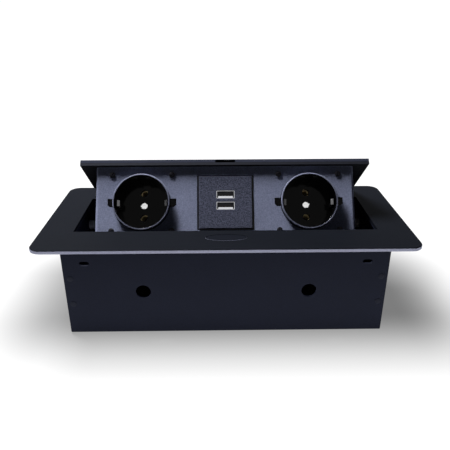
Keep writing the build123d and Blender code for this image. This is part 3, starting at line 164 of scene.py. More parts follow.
class NodeWork:
    """A node tree with short calls for what every tree here is made of."""

    def __init__(self, tree: bpy.types.NodeTree) -> None:
        """Work on a tree."""
        self.tree = tree

    def add(
        self, kind: str, fed: dict[str, object] | None = None, **settings: object
    ) -> bpy.types.Node:
        """Add one node.

        Args:
            kind: The node's type name.
            fed: Values and outputs for its inputs, by name.
            settings: Attributes of the node, by name.

        Returns:
            The node.
        """
        node = self.tree.nodes.new(kind)
        for name, value in settings.items():
            setattr(node, name, value)
        self.give(node, fed or {})
        return node

    def give(self, node: bpy.types.Node, fed: dict[str, object]) -> None:
        """Feed several of a node's inputs, by name."""
        for name, value in fed.items():
            self.feed(value, node.inputs[name])

    def feed(self, value: object, into: Socket) -> None:
        """Link an output to an input, or write a plain value into it.

        Args:
            value: The output, or the value.
            into: The input.
        """
        if isinstance(value, Socket):
            self.tree.links.new(value, into)
        else:
            into.default_value = value

    def reckon(self, operation: str, *values: object) -> Socket:
        """Work out one number.

        Args:
            operation: The sum to do.
            values: Its numbers or outputs.

        Returns:
            The output with the result.
        """
        node = self.add("ShaderNodeMath", operation=operation)
        for value, into in zip(values, node.inputs):
            self.feed(value, into)
        return node.outputs[0]

    def measure(self, operation: str, *vectors: object) -> Socket:
        """Work out a vector, or the number that a length or a dot product gives.

        Args:
            operation: The sum to do.
            vectors: Its vectors or outputs.

        Returns:
            The output with the result.
        """
        node = self.add("ShaderNodeVectorMath", operation=operation)
        for vector, into in zip(vectors, node.inputs):
            self.feed(vector, into)
        return node.outputs["Value" if operation in ("LENGTH", "DOT_PRODUCT") else "Vector"]

    def shown_rays(self) -> Socket:
        """Tell the rays that show the background from those that only light the module.

        Returns:
            An output that gives 1 to rays of the camera, of a gloss and through a glass.
        """
        path = self.add("ShaderNodeLightPath").outputs
        mirrored = self.reckon("MAXIMUM", path["Is Glossy Ray"], path["Is Transmission Ray"])
        return self.reckon("MAXIMUM", path["Is Camera Ray"], mirrored)


class NodeSheet(NodeWork):
    """A material's node tree, with the calls that the finishes share."""

    def __init__(self, name: str) -> None:
        """Start an empty material.

        Args:
            name: The material's name.
        """
        self.material = bpy.data.materials.new(name)
        self.material.use_nodes = True
        super().__init__(self.material.node_tree)
        self.tree.nodes.clear()
        self.shader = self.add("ShaderNodeBsdfPrincipled")
        self.add("ShaderNodeOutputMaterial", {"Surface": self.shader.outputs["BSDF"]})
        self.place = self.add("ShaderNodeTexCoord").outputs["Object"]

    def noise(self, grain: float, detail: float = 2.0, stretch: Triple = (1, 1, 1)) -> Socket:
        """Add a noise on the piece's own coordinates.

        Args:
            grain: The size of one grain in millimetres.
            detail: How many finer layers it has.
            stretch: How much finer it is along X, Y and Z.

        Returns:
            The noise's value.
        """
        mapped = self.add("ShaderNodeMapping", {"Scale": stretch, "Vector": self.place})
        fed = {"Scale": 1 / (grain * MM), "Detail": detail, "Vector": mapped.outputs["Vector"]}
        return self.add("ShaderNodeTexNoise", fed).outputs["Fac"]

    def ramp(self, value: Socket, low: tuple[float, Color], high: tuple[float, Color]) -> Socket:
        """Turn a value into colours.

        Args:
            value: The output with the value.
            low: A place from 0 to 1 and its colour.
            high: A later place and its colour.

        Returns:
            The colour.
        """
        node = self.add("ShaderNodeValToRGB", {"Fac": value})
        for stop, (place, color) in zip(node.color_ramp.elements, (low, high)):
            stop.position, stop.color = place, color
        return node.outputs["Color"]

    def tones(self, value: Socket, color: Color, places: Pair, factors: Pair) -> Socket:
        """Let a colour go from one tone to another with a value."""
        return self.ramp(value, *zip(places, (shade(color, factor) for factor in factors)))

    def between(self, value: Socket, limits: Span, bend: str = "SMOOTHSTEP") -> Socket:
        """Carry a value over from one range to another.

        Args:
            value: The output with the value.
            limits: The first range's ends and then the second's.
            bend: How it goes from one end to the other.

        Returns:
            The value in the second range.
        """
        names = ("Value", "From Min", "From Max", "To Min", "To Max")
        fed = dict(zip(names, (value, *limits)))
        return self.add("ShaderNodeMapRange", fed, interpolation_type=bend).outputs["Result"]

    def blend(self, share: Socket, first: object, second: object) -> Socket:
        """Mix two colours.

        Args:
            share: How much of the second colour there is.
            first: A colour or an output.
            second: A colour or an output.

        Returns:
            The mixed colour.
        """
        node = self.add("ShaderNodeMix", data_type="RGBA")
        for value, index in ((share, 0), (first, 6), (second, 7)):
            self.feed(value, node.inputs[index])
        return node.outputs[2]

    def past_window(self, middle: Triple, half: Triple) -> Socket:
        """Tell how far a point lies past a window, given in mm by its middle and half sizes."""
        away = self.measure("SUBTRACT", self.place, metres(middle))
        return self.measure("SUBTRACT", self.measure("ABSOLUTE", away), metres(half))

    def bump(self, height: Socket, depth: float) -> None:
        """Raise and lower the surface by a value.

        Args:
            height: The output with the value.
            depth: The height in millimetres.
        """
        fed = {"Strength": 1.0, "Distance": depth * MM, "Height": height}
        self.feed(self.add("ShaderNodeBump", fed).outputs["Normal"], self.shader.inputs["Normal"])


@dataclass(frozen=True)
class Finish:
    """What every finish has: a name and a main colour."""

    name: str
    color: Color

    def made(self) -> bpy.types.Material:
        """Give the material, made at its first use."""
        known = bpy.data.materials.get(self.name)
        return known if known else self.build()

    def build(self) -> bpy.types.Material:
        """Build the material. Each finish has its own way."""
        raise NotImplementedError


@dataclass(frozen=True)
class PowderCoat(Finish):
    """Baked powder on sheet steel: a fine orange peel over a faint cloud."""

    roughness: float = 0.55
    sheen: float = 0.1
    peel: float = 0.9
    peel_depth: float = 0.02
    mottle: float = 0.12
    cloud: float = 18.0
    cloud_share: float = 0.35
    gloss_spread: float = 0.08
    tint_places: Pair = (0.35, 0.95)
    gloss_places: Pair = (0.3, 0.7)

    def build(self) -> bpy.types.Material:
        """Build the coat.

        Returns:
            The material.
        """
        sheet = NodeSheet(self.name)
        fine = sheet.noise(self.peel, 3.0)
        clouded = sheet.reckon("MULTIPLY_ADD", sheet.noise(self.cloud), self.cloud_share, fine)
        glosses = (self.roughness - self.gloss_spread, self.roughness + self.gloss_spread)
        sheet.give(sheet.shader, {
            "Base Color": self.tint(sheet, clouded),
            "Roughness": sheet.ramp(fine, *zip(self.gloss_places, map(grey, glosses))),
            "Specular IOR Level": self.sheen,
        })
        sheet.bump(fine, self.peel_depth)
        return sheet.material

    def tint(self, sheet: NodeSheet, clouded: Socket) -> Socket:
        """Give the coat's colour."""
        factors = (1 - self.mottle, 1 + self.mottle)
        return sheet.tones(clouded, self.color, self.tint_places, factors)


@dataclass(frozen=True)
class EdgedCoat(PowderCoat):
    """Coat of the flange, the lid and the push plate: black, with a painted highlight on the edges.
    """

    # The painted highlight's colour: a light colour put on the edges where light would catch them.
    painted_highlight: Color = (0.3, 0.3, 0.4, 1.0)
    roughness: float = 0.6
    sheen: float = 0.03
    cloud: float = 22.0
    facing: Triple = (0, 0, 1)
    turn: Pair = (0.25, 0.6)
    face_tones: Pair = (0.85, 1.2)
    highlight_tones: Pair = (0.85, 1.15)
    middle: Triple = (0, 0, 0)
    # Window round the middle, in mm, inside which the painted highlight is left off.
    no_highlight_within: Triple = (-1, -1, 0)

    def tint(self, sheet: NodeSheet, clouded: Socket) -> Socket:
        """Give the face's colour, and the painted highlight where a face is square to the plate.

        Args:
            sheet: The material's tree.
            clouded: The value that both colours go with.

        Returns:
            The colour.
        """
        face = sheet.tones(clouded, self.color, self.tint_places, self.face_tones)
        painted_highlight = sheet.tones(clouded, self.painted_highlight, self.tint_places, self.highlight_tones)
        normal = sheet.add("ShaderNodeNewGeometry").outputs["True Normal"]
        flat = sheet.reckon("ABSOLUTE", sheet.measure("DOT_PRODUCT", normal, self.facing))
        cut = sheet.ramp(flat, (self.turn[0], grey(1)), (self.turn[1], grey(0)))
        # Painted highlight: the light colour is mixed in where a face stands square to the plate.
        return sheet.blend(sheet.reckon("MULTIPLY", cut, self.outside(sheet)), face, painted_highlight)

    def outside(self, sheet: NodeSheet) -> Socket:
        """Tell the outer edges from those of the opening.

        Args:
            sheet: The material's tree.

        Returns:
            An output that gives 1 past the window and 0 within it.
        """
        past = sheet.past_window(self.middle, self.no_highlight_within)
        split = sheet.add("ShaderNodeSeparateXYZ", {"Vector": past}).outputs
        furthest = sheet.reckon("MAXIMUM", split["X"], split["Y"])
        return sheet.reckon("GREATER_THAN", furthest, 0.0)


@dataclass(frozen=True)
class Moulding(Finish):
    """Injection-moulded plastic, from glossy to grained."""

    roughness: float = 0.4
    sheen: float = 0.2
    grain: float = 0.6
    grain_depth: float = 0.006
    mottle: float = 0.08
    handling: float = 7.0
    tint_places: Pair = (0.3, 0.7)
    gloss_places: Pair = (0.3, 0.75)
    gloss_tones: Pair = (0.85, 1.15)

    def build(self) -> bpy.types.Material:
        """Build the plastic.

        Returns:
            The material.
        """
        sheet = NodeSheet(self.name)
        fine, handled = sheet.noise(self.grain), sheet.noise(self.handling, 3.0)
        rough = grey(self.roughness)
        sheet.give(sheet.shader, {
            "Base Color": self.tint(sheet, fine),
            "Roughness": sheet.tones(handled, rough, self.gloss_places, self.gloss_tones),
            "Specular IOR Level": self.sheen,
        })
        sheet.bump(fine, self.grain_depth)
        return sheet.material

    def tint(self, sheet: NodeSheet, fine: Socket) -> Socket:
        """Give the plastic's colour."""
        factors = (1 - self.mottle, 1 + self.mottle)
        return sheet.tones(fine, self.color, self.tint_places, factors)


@dataclass(frozen=True)
class LippedMoulding(Moulding):
    """Glossy plastic with a painted highlight along the outer edge of its round top ring."""

    # Colour of the painted highlight on the outer edge of the ring's top.
    lip_highlight: Color = linear(118, 122, 144)
    middle: Triple = (0, 0, 0)
    axis: Triple = (0, 0, 1)
    lip_radius: float = 20.95
    lip_width: float = 1.3
    lip_height: float = 3.6

    def tint(self, sheet: NodeSheet, fine: Socket) -> Socket:
        """Give the plastic's colour, with a painted highlight on the top ring's outer edge.

        Args:
            sheet: The material's tree.
            fine: The value that the plastic's own colour goes with.

        Returns:
            The colour.
        """
        away = sheet.measure("SUBTRACT", sheet.place, self.middle)
        reach = sheet.measure("LENGTH", sheet.measure("CROSS_PRODUCT", away, self.axis))
        start, full = self.lip_radius - self.lip_width, self.lip_radius - self.lip_width / 2
        edge = sheet.between(reach, (start * MM, full * MM, 0.0, 1.0), "LINEAR")
        height = sheet.measure("DOT_PRODUCT", away, self.axis)
        top = sheet.reckon("GREATER_THAN", height, self.lip_height * MM)
        share = sheet.reckon("MULTIPLY", edge, top)
        # Painted highlight: the light colour is mixed in on the outer edge of the ring's top.
        return sheet.blend(share, super().tint(sheet, fine), self.lip_highlight)


@dataclass(frozen=True)
class Plating(Finish):
    """Plated or bare metal, with drawing lines along one direction."""

    roughness: float = 0.25
    lines: Triple = (1, 1, 1)
    line_grain: float = 0.25
    line_depth: float = 0.003
    stain: float = 0.15
    stain_grain: float = 4.0
    polish: float = 1.03
    tint_places: Pair = (0.35, 0.75)
    gloss_places: Pair = (0.3, 0.8)
    gloss_tones: Pair = (0.8, 1.3)

    def build(self) -> bpy.types.Material:
        """Build the metal.

        Returns:
            The material.
        """
        sheet = NodeSheet(self.name)
        drawn = sheet.noise(self.line_grain, stretch=self.lines)
        stains, rough = sheet.noise(self.stain_grain, 3.0), grey(self.roughness)
        factors = (1 - self.stain, self.polish)
        sheet.give(sheet.shader, {
            "Metallic": 1.0,
            "Base Color": sheet.tones(stains, self.color, self.tint_places, factors),
            "Roughness": sheet.tones(stains, rough, self.gloss_places, self.gloss_tones),
        })
        sheet.bump(drawn, self.line_depth)
        return sheet.material


class Finishes:
    """Every finish of the module."""

    # The flange's light front edge is a painted highlight.
    FLANGE = EdgedCoat(
        "flange_coat", linear(12, 14, 19), painted_highlight=linear(188, 191, 216), sheen=0.012,
        middle=(0, 5.9, 0), no_highlight_within=(122, 50, 0),
    )
    BOX = PowderCoat("box_coat", linear(27, 30, 43), roughness=0.6, sheen=0.05)
    RIVET = PowderCoat("rivet_coat", linear(26, 29, 41), roughness=0.6)
    # The lid's lighter edges are a painted highlight.
    LID = EdgedCoat("lid_coat", linear(17, 19, 25), painted_highlight=linear(50, 53, 67), facing=tuple(LID.out))
    # The push plate's light outline is a painted highlight.
    BUTTON = EdgedCoat(
        "push_plate_coat", linear(12, 14, 20), painted_highlight=linear(120, 123, 140), sheen=0.012,
        turn=(0.5, 0.93),
    )
    PANEL = PowderCoat(
        "panel_coat", linear(138, 144, 171), roughness=0.6, sheen=0.01, mottle=0.3,
    )
    DARK_SCREW = PowderCoat(
        "blackened_steel", linear(30, 30, 36), roughness=0.45, sheen=0.05, peel=0.3,
        peel_depth=0.004,
    )
    # Zinc darkened far below its own grey: painted shade under the lid.
    BACKING_PAINTED_SHADE = Plating("backing_zinc_painted_shade", linear(34, 35, 41), roughness=0.65, lines=(1, 12, 12))
    ZINC = Plating("zinc_sheet", linear(150, 152, 160), roughness=0.45, lines=(1, 12, 12))
    SPRING = Plating("spring_steel", linear(150, 150, 152), roughness=0.3)
    NICKEL = Plating("nickel", linear(205, 203, 198), roughness=0.18)
    CLIP_NICKEL = Plating("clip_nickel", linear(104, 104, 106), roughness=0.3)
    STEEL = Plating("bright_steel", linear(214, 215, 220), roughness=0.16)
    # Brass darkened nearly to black: painted shade for the sleeves deep in the pin holes.
    BRASS_PAINTED_SHADE = Plating("brass", linear(18, 15, 11), roughness=0.55)
    GOLD = Plating("contact_gold", linear(214, 176, 92), roughness=0.2)
    # The pale outer edge of each dish's top ring is a painted highlight.
    DISHES = {
        side: LippedMoulding(
            f"glossy_black_{side}", linear(8, 8, 10), roughness=0.1, sheen=0.05,
            grain_depth=0.001, middle=tuple(PANEL.at(sign * SOCKET_X, -SOCKET_DROP)),
            axis=tuple(PANEL.out),
        )
        for side, sign in SIDES.items()
    }
    MOULDED = Moulding("matt_black", linear(30, 30, 33), roughness=0.5)
    BEZEL = Moulding(
        "grained_grey", linear(78, 81, 99), roughness=0.5, sheen=0.1, grain=0.8,
        grain_depth=0.05, mottle=0.6,
    )
    TONGUE = Moulding("port_tongue", linear(32, 32, 38), roughness=0.4)
    NYLON = Moulding("white_nylon", linear(214, 212, 204), roughness=0.45)
    BOARD = Moulding(
        "board_green", linear(30, 84, 52), roughness=0.3, sheen=0.5, grain=2.5, mottle=0.2,
    )
    RUBBER = Moulding(
        "rubber_black", linear(26, 26, 27), roughness=0.7, grain=0.8, grain_depth=0.02,
    )


class Workshop:
    """Tools that turn solids and node trees into finished pieces."""

    SMOOTH_BELOW = math.radians(32)
    FLAT_WITHIN = math.radians(0.6)
    WELD = 0.002
    SPECK = 0.001

    @staticmethod
    def stand(name: str, mesh: bpy.types.Mesh) -> bpy.types.Object:
        """Put a mesh in the scene as an object."""
        piece = bpy.data.objects.new(name, mesh)
        bpy.context.scene.collection.objects.link(piece)
        return piece

    @classmethod
    def is_sharp(cls, edge: bmesh.types.BMEdge) -> bool:
        """Tell a fold between two faces from a curve's steps."""
        return len(edge.link_faces) == 2 and edge.calc_face_angle(0.0) > cls.SMOOTH_BELOW

    @classmethod
    def broken_edges(cls, node: str, finish: Finish, width: float) -> bpy.types.Object:
        """Copy a solid, merge it, break its sharp edges and shade its curves smooth.

        Args:
            node: The solid's name.
            finish: What it is finished with.
            width: How wide the broken edge is, in millimetres. None is broken at 0.

        Returns:
            The finished copy, which isn't on a body yet.
        """
        work = bmesh.new()
        work.from_mesh(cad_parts[node].data)
        bmesh.ops.remove_doubles(work, verts=work.verts, dist=cls.WELD * MM)
        bmesh.ops.dissolve_degenerate(work, edges=work.edges, dist=cls.SPECK * MM)
        bmesh.ops.dissolve_limit(
            work, angle_limit=cls.FLAT_WITHIN, verts=work.verts, edges=work.edges, delimit=set()
        )
        if width > 0:
            bmesh.ops.bevel(
                work, geom=[edge for edge in work.edges if cls.is_sharp(edge)],
                offset=width * MM, segments=2, profile=0.5, affect="EDGES",
                clamp_overlap=True, miter_outer="ARC", loop_slide=True,
            )
        for face in work.faces:
            face.smooth = True
        for edge in work.edges:
            edge.smooth = not cls.is_sharp(edge)
        mesh = bpy.data.meshes.new(f"{node}_rough")
        work.to_mesh(mesh)
        work.free()
        mesh.materials.clear()
        mesh.materials.append(finish.made())
        rough = cls.stand(f"{node}_rough", mesh)
        weighted = rough.modifiers.new("weighted", "WEIGHTED_NORMAL")
        weighted.mode = "FACE_AREA"
        weighted.keep_sharp = True
        return cls.settle(rough, f"{node}_finished")

    @classmethod
    def settle(cls, source: bpy.types.Object, name: str) -> bpy.types.Object:
        """Turn a modifier's result into a plain mesh and drop the carrier.

        Args:
            source: The object with the modifier.
            name: The new piece's name.

        Returns:
            The plain piece.
        """
        graph = bpy.context.evaluated_depsgraph_get()
        mesh = bpy.data.meshes.new_from_object(source.evaluated_get(graph), depsgraph=graph)
        source.modifiers.clear()
        bpy.data.objects.remove(source)
        mesh.name = name
        return cls.stand(name, mesh)


class NodeForm(NodeWork):
    """A Geometry Nodes tree with named inputs, and the call that runs it on a mesh."""

    def __init__(self, name: str, sizes: dict[str, float]) -> None:
        """Start the tree.

        Args:
            name: The tree's name.
            sizes: Its named inputs with their first values.
        """
        super().__init__(bpy.data.node_groups.new(name, "GeometryNodeTree"))
        sockets = self.tree.interface
        sockets.new_socket("Geometry", in_out="INPUT", socket_type="NodeSocketGeometry")
        for size, value in sizes.items():
            kind = "NodeSocketInt" if isinstance(value, int) else "NodeSocketFloat"
            sockets.new_socket(size, in_out="INPUT", socket_type=kind).default_value = value
        sockets.new_socket("Finish", in_out="INPUT", socket_type="NodeSocketMaterial")
        sockets.new_socket("Geometry", in_out="OUTPUT", socket_type="NodeSocketGeometry")
        self.start = self.add("NodeGroupInput")
        self.end = self.add("NodeGroupOutput")

    def size(self, name: str) -> Socket:
        """Give the output of one of the tree's named inputs."""
        return self.start.outputs[name]

    def vector(self, *parts: object) -> Socket:
        """Make a vector of three numbers or outputs.

        Args:
            parts: Its X, Y and Z.

        Returns:
            The output with the vector.
        """
        node = self.add("ShaderNodeCombineXYZ")
        for value, into in zip(parts, node.inputs):
            self.feed(value, into)
        return node.outputs[0]

    def named(self, attribute: str) -> Socket:
        """Give a direction that the points carry.

        Args:
            attribute: The direction's name.

        Returns:
            The output with the direction.
        """
        node = self.add(
            "GeometryNodeInputNamedAttribute", {"Name": attribute}, data_type="FLOAT_VECTOR"
        )
        return node.outputs["Attribute"]

    def moved(self, shape: Socket, by: Socket) -> Socket:
        """Move a shape.

        Args:
            shape: The output with the shape.
            by: How far it goes.

        Returns:
            The moved shape.
        """
        return self.add("GeometryNodeTransform", {"Geometry": shape, "Translation": by}).outputs[0]

    def instances(self, points: Socket, shape: Socket, turn: Socket | None = None) -> Socket:
        """Put a shape on every point.

        Args:
            points: The output with the points.
            shape: The output with the shape.
            turn: How it is turned on each point.

        Returns:
            The output with all of them.
        """
        fed = {"Points": points, "Instance": shape}
        if turn is not None:
            fed["Rotation"] = turn
        return self.add("GeometryNodeInstanceOnPoints", fed).outputs[0]

    def close(self, shape: Socket, smooth: bool) -> None:
        """End the tree: real geometry, its shading and its finish.

        Args:
            shape: The output with the shape.
            smooth: Whether its faces are shaded smooth.
        """
        last = self.add("GeometryNodeRealizeInstances", {"Geometry": shape}).outputs[0]
        if smooth:
            last = self.add("GeometryNodeSetShadeSmooth", {"Geometry": last}).outputs[0]
        fed = {"Geometry": last, "Material": self.size("Finish")}
        painted = self.add("GeometryNodeSetMaterial", fed)
        self.feed(painted.outputs[0], self.end.inputs["Geometry"])

    def run(
        self, name: str, carrier: bpy.types.Mesh, finish: Finish, sizes: dict[str, float]
    ) -> bpy.types.Object:
        """Run the tree on a mesh and keep the result as a plain piece.

        Args:
            name: The piece's name.
            carrier: The points or edges that the tree works on.
            finish: The finish of the piece.
            sizes: Values of the tree's named inputs.

        Returns:
            The plain piece.
        """
        holder = Workshop.stand(f"{name}_carrier", carrier)
        modifier = holder.modifiers.new("form", "NODES")
        modifier.node_group = self.tree
        values = {**sizes, "Finish": finish.made()}
        for item in self.tree.interface.items_tree:
            if item.in_out == "INPUT" and item.name in values:
                modifier[item.identifier] = values[item.name]
        piece = Workshop.settle(holder, name)
        if not piece.data.materials:
            piece.data.materials.append(finish.made())
        return piece


class FastenerForm(NodeForm):
    """Domed heads with a shank, one on each point, with a straight slot if they are driven."""

    HEAD_SIDES = 36
    HEAD_RINGS = 6
    SHANK_SIDES = 20
    DOME_POWER = 2.6
    SHANK_SHARE_BELOW = 0.4999

    def __init__(self, slotted: bool) -> None:
        """Build the tree.

        Args:
            slotted: Whether the heads have a slot.
        """
        super().__init__(
            "slotted_screws" if slotted else "domed_rivets",
            {
                "Head Radius": 2.1 * MM, "Head Height": 1.3 * MM, "Dome": 0.35,
                "Shank Radius": 1.2 * MM, "Shank Length": 4.0 * MM,
                "Slot Width": 0.6 * MM, "Slot Depth": 0.6 * MM,
            },
        )
        shape = self.head()
        if slotted:
            shape = self.cut_slot(shape)
        joined = self.add("GeometryNodeJoinGeometry")
        self.feed(self.shank(), joined.inputs["Geometry"])
        self.feed(shape, joined.inputs["Geometry"])
        self.close(self.on_points(joined.outputs[0]), smooth=False)

    def head(self) -> Socket:
        """Make the head: a short cylinder whose top falls away to its edge.

        Returns:
            The output with the head.
        """
        radius, height = self.size("Head Radius"), self.size("Head Height")
        sides = {"Vertices": self.HEAD_SIDES, "Fill Segments": self.HEAD_RINGS}
        sizes = {"Radius": radius, "Depth": height}
        disc = self.add("GeometryNodeMeshCylinder", {**sides, **sizes}, fill_type="TRIANGLE_FAN")
        place = self.add("GeometryNodeInputPosition").outputs[0]
        x, y, z = self.add("ShaderNodeSeparateXYZ", {"Vector": place}).outputs
        share = self.reckon("DIVIDE", self.measure("LENGTH", self.vector(x, y, 0.0)), radius)
        curve = self.reckon("POWER", share, self.DOME_POWER)
        fall = self.reckon("MULTIPLY", curve, self.size("Dome"))
        drop = self.reckon("MULTIPLY", fall, height)
        upper = self.reckon("GREATER_THAN", z, 0.0)
        lowered = self.reckon("MULTIPLY", self.reckon("MULTIPLY", drop, upper), -1.0)
        lift = self.reckon("ADD", lowered, self.reckon("MULTIPLY", height, 0.5))
        fed = {"Geometry": disc.outputs["Mesh"], "Offset": self.vector(0.0, 0.0, lift)}
        return self.add("GeometryNodeSetPosition", fed).outputs[0]

    def cut_slot(self, head: Socket) -> Socket:
        """Cut the slot across the head.

        Args:
            head: The output with the head.

        Returns:
            The output with the slotted head.
        """
        long = self.reckon("MULTIPLY", self.size("Head Radius"), 3.0)
        deep = self.reckon("MULTIPLY", self.size("Slot Depth"), 2.0)
        size = self.vector(long, self.size("Slot Width"), deep)
        bar = self.add("GeometryNodeMeshCube", {"Size": size}).outputs["Mesh"]
        cutter = self.moved(bar, self.vector(0.0, 0.0, self.size("Head Height")))
        cut = self.add(
            "GeometryNodeMeshBoolean", {"Mesh 1": head, "Mesh 2": cutter},
            operation="DIFFERENCE", solver="EXACT",
        )
        return cut.outputs["Mesh"]

    def shank(self) -> Socket:
        """Make the shank below the head.

        Returns:
            The output with the shank.
        """
        length = self.size("Shank Length")
        sizes = {"Radius": self.size("Shank Radius"), "Depth": length}
        rod = self.add("GeometryNodeMeshCylinder", {"Vertices": self.SHANK_SIDES, **sizes})
        down = self.reckon("MULTIPLY", length, -self.SHANK_SHARE_BELOW)
        return self.moved(rod.outputs["Mesh"], self.vector(0.0, 0.0, down))

    def on_points(self, shape: Socket) -> Socket:
        """Put the fastener on every point, turned to the point's own directions.

        Args:
            shape: The output with one fastener.

        Returns:
            The output with all of them.
        """
        align = "FunctionNodeAlignRotationToVector"
        stand = self.add(align, {"Vector": self.named("outward")}, axis="Z").outputs[0]
        fed = {"Rotation": stand, "Vector": self.named("slot_way")}
        turn = self.add(align, fed, axis="X", pivot_axis="Z").outputs[0]
        return self.instances(self.size("Geometry"), shape, turn)


class WireForm(NodeForm):
    """Round wire along a path of edges."""

    def __init__(self) -> None:
        """Build the tree."""
        super().__init__("round_wire", {"Wire Radius": 0.65 * MM, "Sides": 14})
        path = self.add("GeometryNodeMeshToCurve", {"Mesh": self.size("Geometry")})
        sizes = {"Resolution": self.size("Sides"), "Radius": self.size("Wire Radius")}
        ring = self.add("GeometryNodeCurvePrimitiveCircle", sizes)
        curves = {"Curve": path.outputs["Curve"], "Profile Curve": ring.outputs["Curve"]}
        tube = self.add("GeometryNodeCurveToMesh", {**curves, "Fill Caps": True})
        self.close(tube.outputs["Mesh"], smooth=True)


class StripForm(NodeForm):
    """A row of equal flat strips along X on each point, facing the point's own way."""

    def __init__(self) -> None:
        """Build the tree."""
        super().__init__(
            "contact_strips",
            {
                "Count": 4, "Pitch": 2.3 * MM, "Strip Width": 1.0 * MM,
                "Strip Length": 8.0 * MM, "Strip Height": 0.1 * MM,
            },
        )
        sizes = (self.size(f"Strip {name}") for name in ("Width", "Length", "Height"))
        bar = self.add("GeometryNodeMeshCube", {"Size": self.vector(*sizes)})
        count, pitch = self.size("Count"), self.size("Pitch")
        span = self.reckon("MULTIPLY", self.reckon("SUBTRACT", count, 1), pitch)
        first = self.vector(self.reckon("MULTIPLY", span, -0.5), 0.0, 0.0)
        fed = {"Count": count, "Start Location": first, "Offset": self.vector(pitch, 0.0, 0.0)}
        row = self.add("GeometryNodeMeshLine", fed, mode="OFFSET")
        strips = self.instances(row.outputs["Mesh"], bar.outputs["Mesh"])
        turned = self.add(
            "FunctionNodeAlignRotationToVector", {"Vector": self.named("outward")},
            axis="Z", pivot_axis="X",
        )
        rows = self.instances(self.size("Geometry"), strips, turned.outputs[0])
        self.close(rows, smooth=False)


@dataclass(frozen=True)
class Seat:
    """Where one fastener or row of strips sits, which way it faces and how it is turned."""

    place: Vector
    outward: Vector
    slot_way: Vector = field(default_factory=lambda: Vector((1, 0, 0)))


def seats_mesh(name: str, seats: list[Seat]) -> bpy.types.Mesh:
    """Make the points that a tree puts its forms on.

    Args:
        name: The mesh's name.
        seats: The places.

    Returns:
        A mesh of loose points with their directions.
    """
    mesh = bpy.data.meshes.new(name)
    mesh.from_pydata([seat.place for seat in seats], [], [])
    for attribute in ("outward", "slot_way"):
        layer = mesh.attributes.new(attribute, "FLOAT_VECTOR", "POINT")
        flat = [value for seat in seats for value in getattr(seat, attribute)]
        layer.data.foreach_set("vector", flat)
    return mesh


def path_mesh(name: str, points: list[Vector]) -> bpy.types.Mesh:
    """Make a chain of edges through points."""
    mesh = bpy.data.meshes.new(name)
    mesh.from_pydata(points, [(i, i + 1) for i in range(len(points) - 1)], [])
    return mesh


@dataclass
class SubAssembly:
    """A group of pieces that go on one body."""

    body: Body = Body.HOUSING

    def finish_node(
        self, node: str, finish: Finish, slot: str, edge: float, body: Body | None = None
    ) -> None:
        """Replace a solid by its finished copy.

        Args:
            node: The solid's name.
            finish: Its finish.
            slot: The record's material slot.
            edge: How wide its broken edges are, in millimetres.
            body: The body, if it isn't the sub-assembly's own.
        """
        self.place(Workshop.broken_edges(node, finish, edge), slot, [node], body)

    def place(
        self, piece: bpy.types.Object, slot: str, nodes: list[str], body: Body | None = None
    ) -> None:
        """Put a finished piece on its body, in place of its solids.

        Args:
            piece: The piece.
            slot: The record's material slot. Not used.
            nodes: The solids that it stands for.
            body: The body, if it isn't the sub-assembly's own.
        """
        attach(piece, (body or self.body).value)
        if nodes:
            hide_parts(*nodes)
        faces, on = len(piece.data.polygons), (body or self.body).value
        log.info("%s: %d faces on %s", piece.name, faces, on)


@dataclass
class Housing(SubAssembly):
    """The flange, the folded box and what is riveted or clipped into it."""

    sheet_edge: float = 0.18
    rivet_x: float = 112.75
    rivet_heights: Pair = (47.5, 26.2)
    front: float = -39.2
    back: float = 51.0

    def build(self) -> None:
        """Build and dress the housing."""
        self.finish_node("desk_flange", Finishes.FLANGE, "black_coat", edge=0.0)
        self.finish_node("box_wrap", Finishes.BOX, "black_coat", edge=self.sheet_edge)
        for side in SIDES:
            self.finish_node(f"end_plate_{side}", Finishes.BOX, "black_coat", edge=self.sheet_edge)
            self.finish_node(f"pivot_pin_{side}", Finishes.CLIP_NICKEL, "nickel", edge=0.15)
            self.finish_node(f"pivot_sleeve_{side}", Finishes.NYLON, "white_plastic", edge=0.15)
        self.finish_node("stop_bumpers", Finishes.RUBBER, "rubber", edge=0.2)
        self.finish_node("cable_bushing", Finishes.RUBBER, "rubber", edge=0.3)
        self.finish_node("terminal_block", Finishes.NYLON, "white_plastic", edge=0.25)
        self.rivets()

    def rivets(self) -> None:
        """Put in the eight domed rivets."""
        seats = [
            Seat(Vector((side * self.rivet_x, wall, height)) * MM, Vector((0, way, 0)))
            for side in (-1, 1)
            for height in self.rivet_heights
            for wall, way in ((self.front, -1), (self.back, 1))
        ]
        piece = FastenerForm(slotted=False).run(
            "box_rivets_domed", seats_mesh("rivet_seats", seats), Finishes.RIVET,
            {
                "Head Radius": 2.3 * MM, "Head Height": 0.5 * MM, "Dome": 0.6,
                "Shank Radius": 1.6 * MM, "Shank Length": 3.4 * MM,
            },
        )
        self.place(piece, "black_steel", ["box_rivets"])


@dataclass
class Lid(SubAssembly):
    """The lid's cover plate on its backing sheet."""

    body: Body = Body.CARRIAGE
    edge: float = 0.2

    def build(self) -> None:
        """Build and dress the lid."""
        self.finish_node("lid_cover", Finishes.LID, "black_coat", edge=self.edge)
        self.finish_node("lid_backing", Finishes.BACKING_PAINTED_SHADE, "bare_steel", edge=self.edge)


